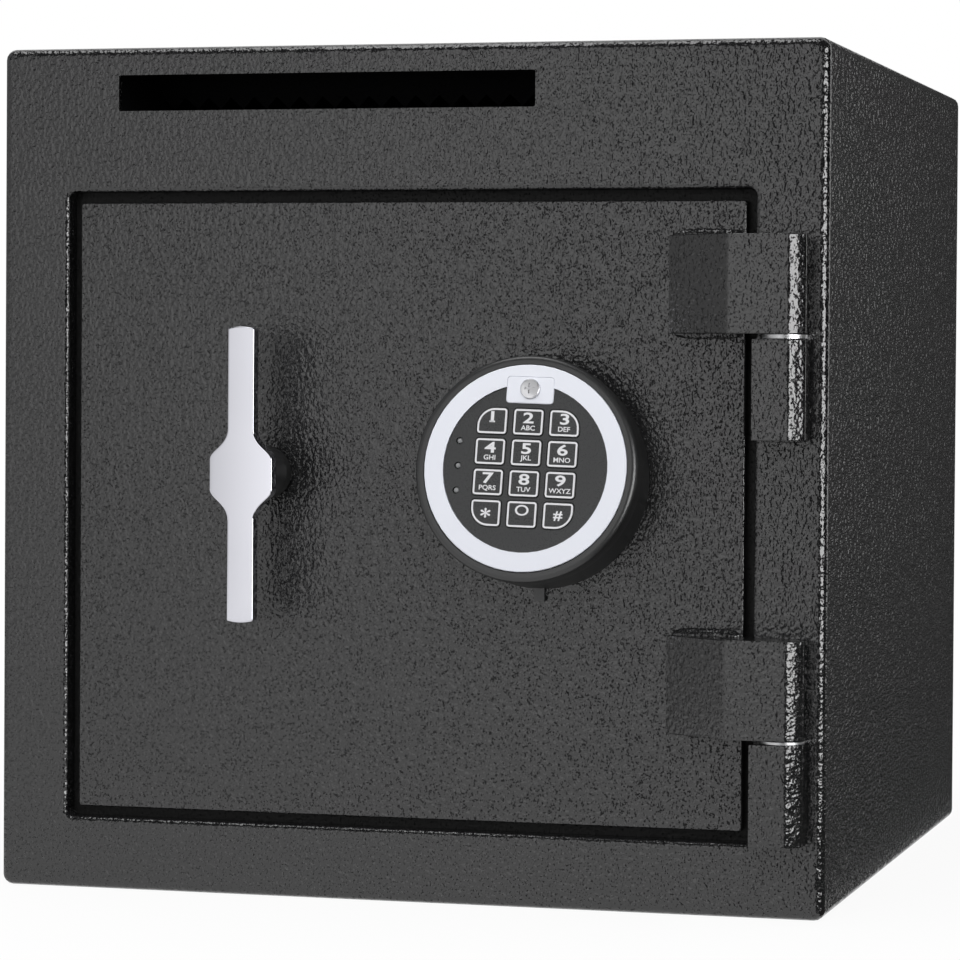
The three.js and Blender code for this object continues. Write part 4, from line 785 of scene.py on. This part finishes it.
# %% Twelve keys
KEY_GRID = [["1", "2", "3"], ["4", "5", "6"], ["7", "8", "9"], ["star", "0", "hash"]]
KEY_LETTERS = {"2": "ABC", "3": "DEF", "4": "GHI", "5": "JKL", "6": "MNO", "7": "PQRS", "8": "TUV",
               "9": "WXYZ"}
DIGIT_SIZE, DIGIT_RISE = 6.8 * MM, 1.9 * MM
OTHER_MARKS = {
    "star": ("*", 9.5 * MM, 0, 1.15, 0.14 * MM),
    "hash": ("#", 6 * MM, 0, 1.15, 0.14 * MM),
    "0": ("O", 6.9 * MM, DIGIT_RISE, 1.25, 0.06 * MM),
}
FOOT_DROP, LETTERS_DROP = DIGIT_SIZE * 0.33, 2.7 * MM


def marks_on(name):
    """What a key bears, each as words, size, rise above its middle, widening and boldness."""
    marks = [OTHER_MARKS.get(name, (name, DIGIT_SIZE, DIGIT_RISE, 1.55, 0.15 * MM))]
    if name == "1":
        marks.append(("-", DIGIT_SIZE, DIGIT_RISE - FOOT_DROP, 1.5, 0.05 * MM))
    if name in KEY_LETTERS:
        marks.append((KEY_LETTERS[name], 3.1 * MM, -LETTERS_DROP, 1.1, 0.05 * MM))
    return marks


for row, names in enumerate(KEY_GRID):
    for column, name in enumerate(names):
        node = f"key_{name}"
        low, high = span(node, keypad_place)
        size, centre = high - low, (low + high) / 2
        cap = key_cap(size, row, column)
        for words, height, rise, widen, bolder in marks_on(name):
            joined(cap, printed(words, height, rise, size.z, widen, bolder))
        put_on_keypad(cap, centre.x, centre.y, low.z)
        make_piece(f"{node}_cap", cap, node, [glossy_face, key_ink], [node])
print("keys", round(size.x / MM, 1), "by", round(size.y / MM, 1), "mm")

# %% [markdown]
# ## The outline of the handle
#
# From the front the handle is a wide hub with an arm up and an arm down. Its sides are flat along
# the hub, then run to the arms in a long shoulder, which is a cubic curve with its two inner points
# set at shares of its length. Such a curve is given by the way along it, and the bar needs its
# width at a height, so the place on the curve is found by halving.

# %% Handle outline
ARM_HALF_WIDTH = 6.3 * MM
HUB_HALF_FLAT = 7 * MM
SHOULDER_LENGTH = 14.5 * MM
HUB_SHARE, ARM_SHARE = 0.3, 0.55
HALVINGS = 30
handle_low, handle_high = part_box("handle")
handle_middle = (handle_low + handle_high) / 2
hub_half_width = (handle_high.x - handle_low.x) / 2
handle_half_length = (handle_high.z - handle_low.z) / 2


def shoulder_half_width(rise):
    """Half width of the bar at a height above the hub's flat, on the shoulder's curve."""
    start, end = 0.0, 1.0
    for _ in range(HALVINGS):
        share = (start + end) / 2
        kept = 1 - share
        climbed = SHOULDER_LENGTH * (
            3 * kept**2 * share * HUB_SHARE + 3 * kept * share**2 * (1 - ARM_SHARE) + share**3
        )
        start, end = (share, end) if climbed < rise else (start, share)
    share = (start + end) / 2
    hub_part = (1 - share) ** 3 + 3 * (1 - share) ** 2 * share
    return ARM_HALF_WIDTH + (hub_half_width - ARM_HALF_WIDTH) * hub_part


def half_width(height):
    rise = abs(height) - HUB_HALF_FLAT
    if rise <= 0:
        return hub_half_width
    if rise >= SHOULDER_LENGTH:
        return ARM_HALF_WIDTH
    return shoulder_half_width(rise)


print("hub", round(2 * hub_half_width / MM, 1), "mm wide, arms", round(2 * ARM_HALF_WIDTH / MM, 1), "mm")

# %% [markdown]
# ## The bar of the handle
#
# The bar is chromed, with a narrow rounded rim and a front that is almost flat. A flat mirror shows
# one even tone, so the front is crowned by a wide radius from side to side, and the mirrored studio
# passes softly across it. A grid is a good start: its columns are drawn in to the half width at
# each height and its ends bulge. It is then extruded backwards and its rim bevelled, so that the
# bright edge line of the real one appears.

# %% Handle bar
HANDLE_BAR_THICKNESS = 7 * MM
END_RADIUS = 24 * MM
CROWN_RADIUS = 320 * MM
HANDLE_RIM = 0.5 * MM


def handle_bar():
    """The bar with Z out of the door and zero at its back, Y along it."""
    bm = bmesh.new()
    bmesh.ops.create_grid(bm, x_segments=14, y_segments=150, size=1)
    side_drop = END_RADIUS - math.sqrt(END_RADIUS**2 - ARM_HALF_WIDTH**2)
    for vertex in bm.verts:
        across_share, along_share = vertex.co.x, vertex.co.y
        length = handle_half_length - side_drop * across_share**2
        height = along_share * length
        x = across_share * half_width(along_share * handle_half_length)
        crown = CROWN_RADIUS - math.sqrt(CROWN_RADIUS**2 - x**2)
        vertex.co = (x, height, HANDLE_BAR_THICKNESS - crown)
    back = bmesh.ops.extrude_face_region(bm, geom=bm.faces[:], use_keep_orig=True)
    for item in back["geom"]:
        if isinstance(item, bmesh.types.BMVert):
            item.co.z = 0
    bmesh.ops.recalc_face_normals(bm, faces=bm.faces[:])
    rim = [edge for edge in bm.edges if edge.is_manifold and edge.calc_face_angle() > SMOOTH_UP_TO]
    bmesh.ops.bevel(bm, geom=rim, offset=HANDLE_RIM, offset_type="OFFSET", segments=4, profile=0.5,
                    affect="EDGES", clamp_overlap=True, material=-1)
    return bm


front_of_handle = door_front_y - handle_low.y
back_of_bar = front_of_handle - HANDLE_BAR_THICKNESS
bar = handle_bar()
bmesh.ops.translate(bar, vec=(0, 0, back_of_bar), verts=bar.verts[:])
print("handle", round(2 * handle_half_length / MM, 1), "mm long, front", round(front_of_handle / MM, 1),
      "mm off the door")

# %% [markdown]
# ## The neck of the handle
#
# The bar stands off the door on a round neck with a wider foot, which wears the black plastic
# finish so that it shows dark, without the bright streak that chrome would mirror there. The neck is
# spun like the housing, reaches a little into the bar, and is joined to it, because both turn as one.

# %% Handle neck
FOOT_RADIUS, FOOT_HEIGHT = 12.5 * MM, 7 * MM
NECK_RADIUS, NECK_STARTS = 9.5 * MM, 14 * MM
INTO_BAR = 1 * MM
foot_start = door_front_y - handle_high.y
neck = spun([
    (0, foot_start, 0),
    (FOOT_RADIUS, foot_start, 0.6 * MM),
    (FOOT_RADIUS, foot_start + FOOT_HEIGHT, 1.5 * MM),
    (NECK_RADIUS, foot_start + NECK_STARTS, 2 * MM),
    (NECK_RADIUS, back_of_bar + INTO_BAR, 0),
    (0, back_of_bar + INTO_BAR, 0),
], steps=64)
joined(bar, neck)
handle_place = Matrix.Translation((handle_middle.x, door_front_y, handle_middle.z))
handle_place = handle_place @ Matrix.Rotation(math.radians(90), 4, "X")
bmesh.ops.transform(bar, matrix=handle_place, verts=bar.verts[:])
# The neck gets the black plastic finish so that it stays dark, without a mirrored streak.
make_piece("handle_bar", bar, "handle", [chrome, black_plastic], ["handle"])
print("neck", round((back_of_bar - foot_start) / MM, 1), "mm long")

# %% [markdown]
# ## The white room
#
# The photograph has a pure white background. The world is white for the camera, a little less in
# reflections, and gives less light still, so that the lamps can shape the safe.

# %% World
FILL_LIGHT, MIRRORED_WHITE = 0.45, 0.8


def seen_directly(tree):
    """Brightness for the eye and for reflections: 1 seen straight or through glass, less in a mirror."""
    rays = add_node(tree, "ShaderNodeLightPath")
    mirrored = arithmetic(tree, "MULTIPLY", rays.outputs["Is Glossy Ray"], MIRRORED_WHITE)
    straight, through_glass = rays.outputs["Is Camera Ray"], rays.outputs["Is Transmission Ray"]
    direct = arithmetic(tree, "MAXIMUM", straight, through_glass)
    return arithmetic(tree, "MAXIMUM", direct, mirrored)


world = bpy.data.worlds.new("studio")
world.use_nodes = True
bpy.context.scene.world = world
tree = world.node_tree
backdrop = tree.nodes["Background"]
backdrop.inputs["Color"].default_value = (1, 1, 1, 1)
strength = arithmetic(tree, "MAXIMUM", seen_directly(tree), FILL_LIGHT)
tree.links.new(strength, backdrop.inputs["Strength"])
print("world gives", FILL_LIGHT, "and mirrors as", MIRRORED_WHITE)

# %% [markdown]
# ## The floor
#
# The safe stands on white paper with only a thin shadow under it. A real sheet would turn grey
# behind the safe. This one glows like the background, and near the safe a small share of it is
# real paper, which is enough to show the shadow. Far away it is all glow, so its edge can't be seen.

# %% Floor
FLOOR_SIZE = 6.0
SHADOW_NEAR, SHADOW_FAR = 0.2, 0.6
GLOW_NEAR, GLOW_FAR = 0.93, 1.0
floor_paper, tree, shader = finish("floor_paper")
shader.inputs["Base Color"].default_value = (0.8, 0.8, 0.8, 1)
shader.inputs["Roughness"].default_value = 1
shader.inputs["Specular IOR Level"].default_value = 0
distance = add_node(tree, "ShaderNodeVectorMath", {0: own_place(tree)}, operation="LENGTH")
share = remapped(tree, distance.outputs["Value"], SHADOW_NEAR, SHADOW_FAR, GLOW_NEAR, GLOW_FAR)
glow = add_node(tree, "ShaderNodeEmission", {"Color": (1, 1, 1, 1), "Strength": seen_directly(tree)})
layers = {0: share, 1: shader.outputs["BSDF"], 2: glow.outputs["Emission"]}
mixed = add_node(tree, "ShaderNodeMixShader", layers)
tree.links.new(mixed.outputs["Shader"], tree.nodes["Material Output"].inputs["Surface"])

bm = bmesh.new()
bmesh.ops.create_grid(bm, x_segments=1, y_segments=1, size=FLOOR_SIZE / 2)
mesh = bpy.data.meshes.new("floor")
bm.to_mesh(mesh)
bm.free()
mesh.materials.append(floor_paper)
floor = bpy.data.objects.new("floor", mesh)
bpy.context.scene.collection.objects.link(floor)
print("floor", FLOOR_SIZE, "m wide")

# %% [markdown]
# ## Lamps
#
# The real lights are an even soft one from the front left, which the door and the chrome mirror,
# and one from the right that sparkles on the rounded edges. Here a wide panel in front is there to
# be mirrored, and a stronger lamp that no reflection sees lights the keys and the ring. The panel on
# the right is only seen in reflections. It stays low, or the roof would mirror it from behind.

# %% Lamps


def soft_box(name, place, target, width, height, watts, in_gloss=True, in_diffuse=True):
    """An area lamp at a place, turned to a target, that reflections or matt surfaces may not see."""
    data = bpy.data.lights.new(name, "AREA")
    data.shape = "RECTANGLE"
    data.size, data.size_y = width, height
    data.energy = watts
    made = bpy.data.objects.new(name, data)
    made.location = place
    made.rotation_euler = (Vector(target) - Vector(place)).to_track_quat("-Z", "Y").to_euler()
    made.visible_camera = False
    made.visible_glossy = in_gloss
    made.visible_diffuse = in_diffuse
    bpy.context.scene.collection.objects.link(made)


SAFE_MIDDLE = (0, 0, 0.2)
soft_box("front_panel", (-1.44, -2.0, 0.5), (-1.44, 0, 0.5), 3.12, 1.2, 6.3)
soft_box("front_fill", (0.2, -2.2, 1.4), SAFE_MIDDLE, 2.0, 1.5, 34, in_gloss=False)
soft_box("right_panel", (0.78, -0.585, 0.24), (0.19, -0.215, 0.24), 0.5, 0.46, 4.4, in_diffuse=False)
soft_box("top_panel", (-0.3, -0.3, 1.6), SAFE_MIDDLE, 0.8, 0.8, 6)

# %% [markdown]
# ## Papers for the cards
#
# Black paint and chrome show what stands round them, and a room that is white all round would wash
# them out. A photographer puts up cards. These are papers with an even glow of their own, from
# black to grey, so no lamp changes them. Two turn paler along X, for the slow change of tone that
# the door and the side have.

# %% Card papers


def card_paper(name, level):
    """Paper that gives off its own even grey."""
    material, tree, shader = finish(name)
    shader.inputs["Base Color"].default_value = (0.01, 0.01, 0.01, 1)
    shader.inputs["Roughness"].default_value = 1
    shader.inputs["Specular IOR Level"].default_value = 0
    shader.inputs["Emission Color"].default_value = (1, 1, 1, 1)
    shader.inputs["Emission Strength"].default_value = level
    return material


def fading_paper(name, start, end, level, far_level):
    """Card paper that turns from one grey to a paler one between two places along X."""
    material = card_paper(name, level)
    tree = material.node_tree
    place = add_node(tree, "ShaderNodeTexCoord").outputs["Object"]
    along = add_node(tree, "ShaderNodeSeparateXYZ", {"Vector": place}).outputs["X"]
    fade = remapped(tree, along, start, end, level, far_level)
    tree.links.new(fade, tree.nodes["Principled BSDF"].inputs["Emission Strength"])
    return material


DIM, GREY = 0.05, 0.4
card_black = card_paper("card_black", 0.0)
card_dim = card_paper("card_dim", DIM)
card_left_grey = card_paper("card_left_grey", GREY)
card_fading = fading_paper("card_fading", 0.56, 0.85, DIM, 1.0)
card_brightening = fading_paper("card_brightening", -1.3, -0.15, 0.0, 0.62)
print("papers made: black, dim", DIM, "grey", GREY, "and two that fade")

# %% [markdown]
# ## Cards round the safe
#
# Two cards stand behind the front panel: the door and the handle mirror the nearer one, and the
# black one keeps the paint deep, as does one overhead. On the right, a fading card gives the side
# its tone and black ones end it. A dim card lies on the floor there, because the side's relief would
# mirror white paper. Grey cards on the left soften the chrome. Only reflections see the cards, so
# they cast no shadow.

# %% Cards


def card(name, material, corner, along, up):
    """A rectangle from a corner along two edges, which only reflections see."""
    bm = bmesh.new()
    bmesh.ops.create_grid(bm, x_segments=1, y_segments=1, size=0.5)
    x_axis, y_axis = Vector(along), Vector(up)
    centre = Vector(corner) + (x_axis + y_axis) / 2
    spread = Matrix((x_axis, y_axis, x_axis.cross(y_axis).normalized())).transposed().to_4x4()
    bmesh.ops.transform(bm, matrix=Matrix.Translation(centre) @ spread, verts=bm.verts[:])
    mesh = bpy.data.meshes.new(name)
    bm.to_mesh(mesh)
    bm.free()
    mesh.materials.append(material)
    made = bpy.data.objects.new(name, mesh)
    bpy.context.scene.collection.objects.link(made)
    for ray in ("camera", "diffuse", "transmission", "volume_scatter", "shadow"):
        setattr(made, f"visible_{ray}", False)


card("card_behind_panel", card_brightening, (-3.0, -2.03, 0.0), (3.12, 0, 0), (0, 0, 1.1))
card("card_behind_camera", card_black, (-3.0, -2.04, 0.0), (6.5, 0, 0), (0, 0, 3.0))
card("card_right_front", card_black, (3.2, -2.9, -1.0), (0, 4.1, 0), (0, 0, 4.0))
card("card_right_back", card_fading, (0.1, 1.2, 0.0), (1.2, 0, 0), (0, 0, 1.4))
card("card_right_far", card_black, (1.3, 1.2, 0.0), (1.9, 0, 0), (0, 0, 1.4))
card("card_under_right", card_dim, (0.2005, -1.9, 0.0005), (2.99, 0, 0), (0, 3.1, 0))
card("card_overhead", card_black, (-3.0, -2.9, 2.6), (6.5, 0, 0), (0, 3.6, 0))
card("card_left", card_left_grey, (-2.6, -2.0, 0.0), (0, 3.2, 0), (0, 0, 2.5))
card("card_under_left", card_left_grey, (-2.6, -0.45, 0.0005), (2.15, 0, 0), (0, 0.6, 0))
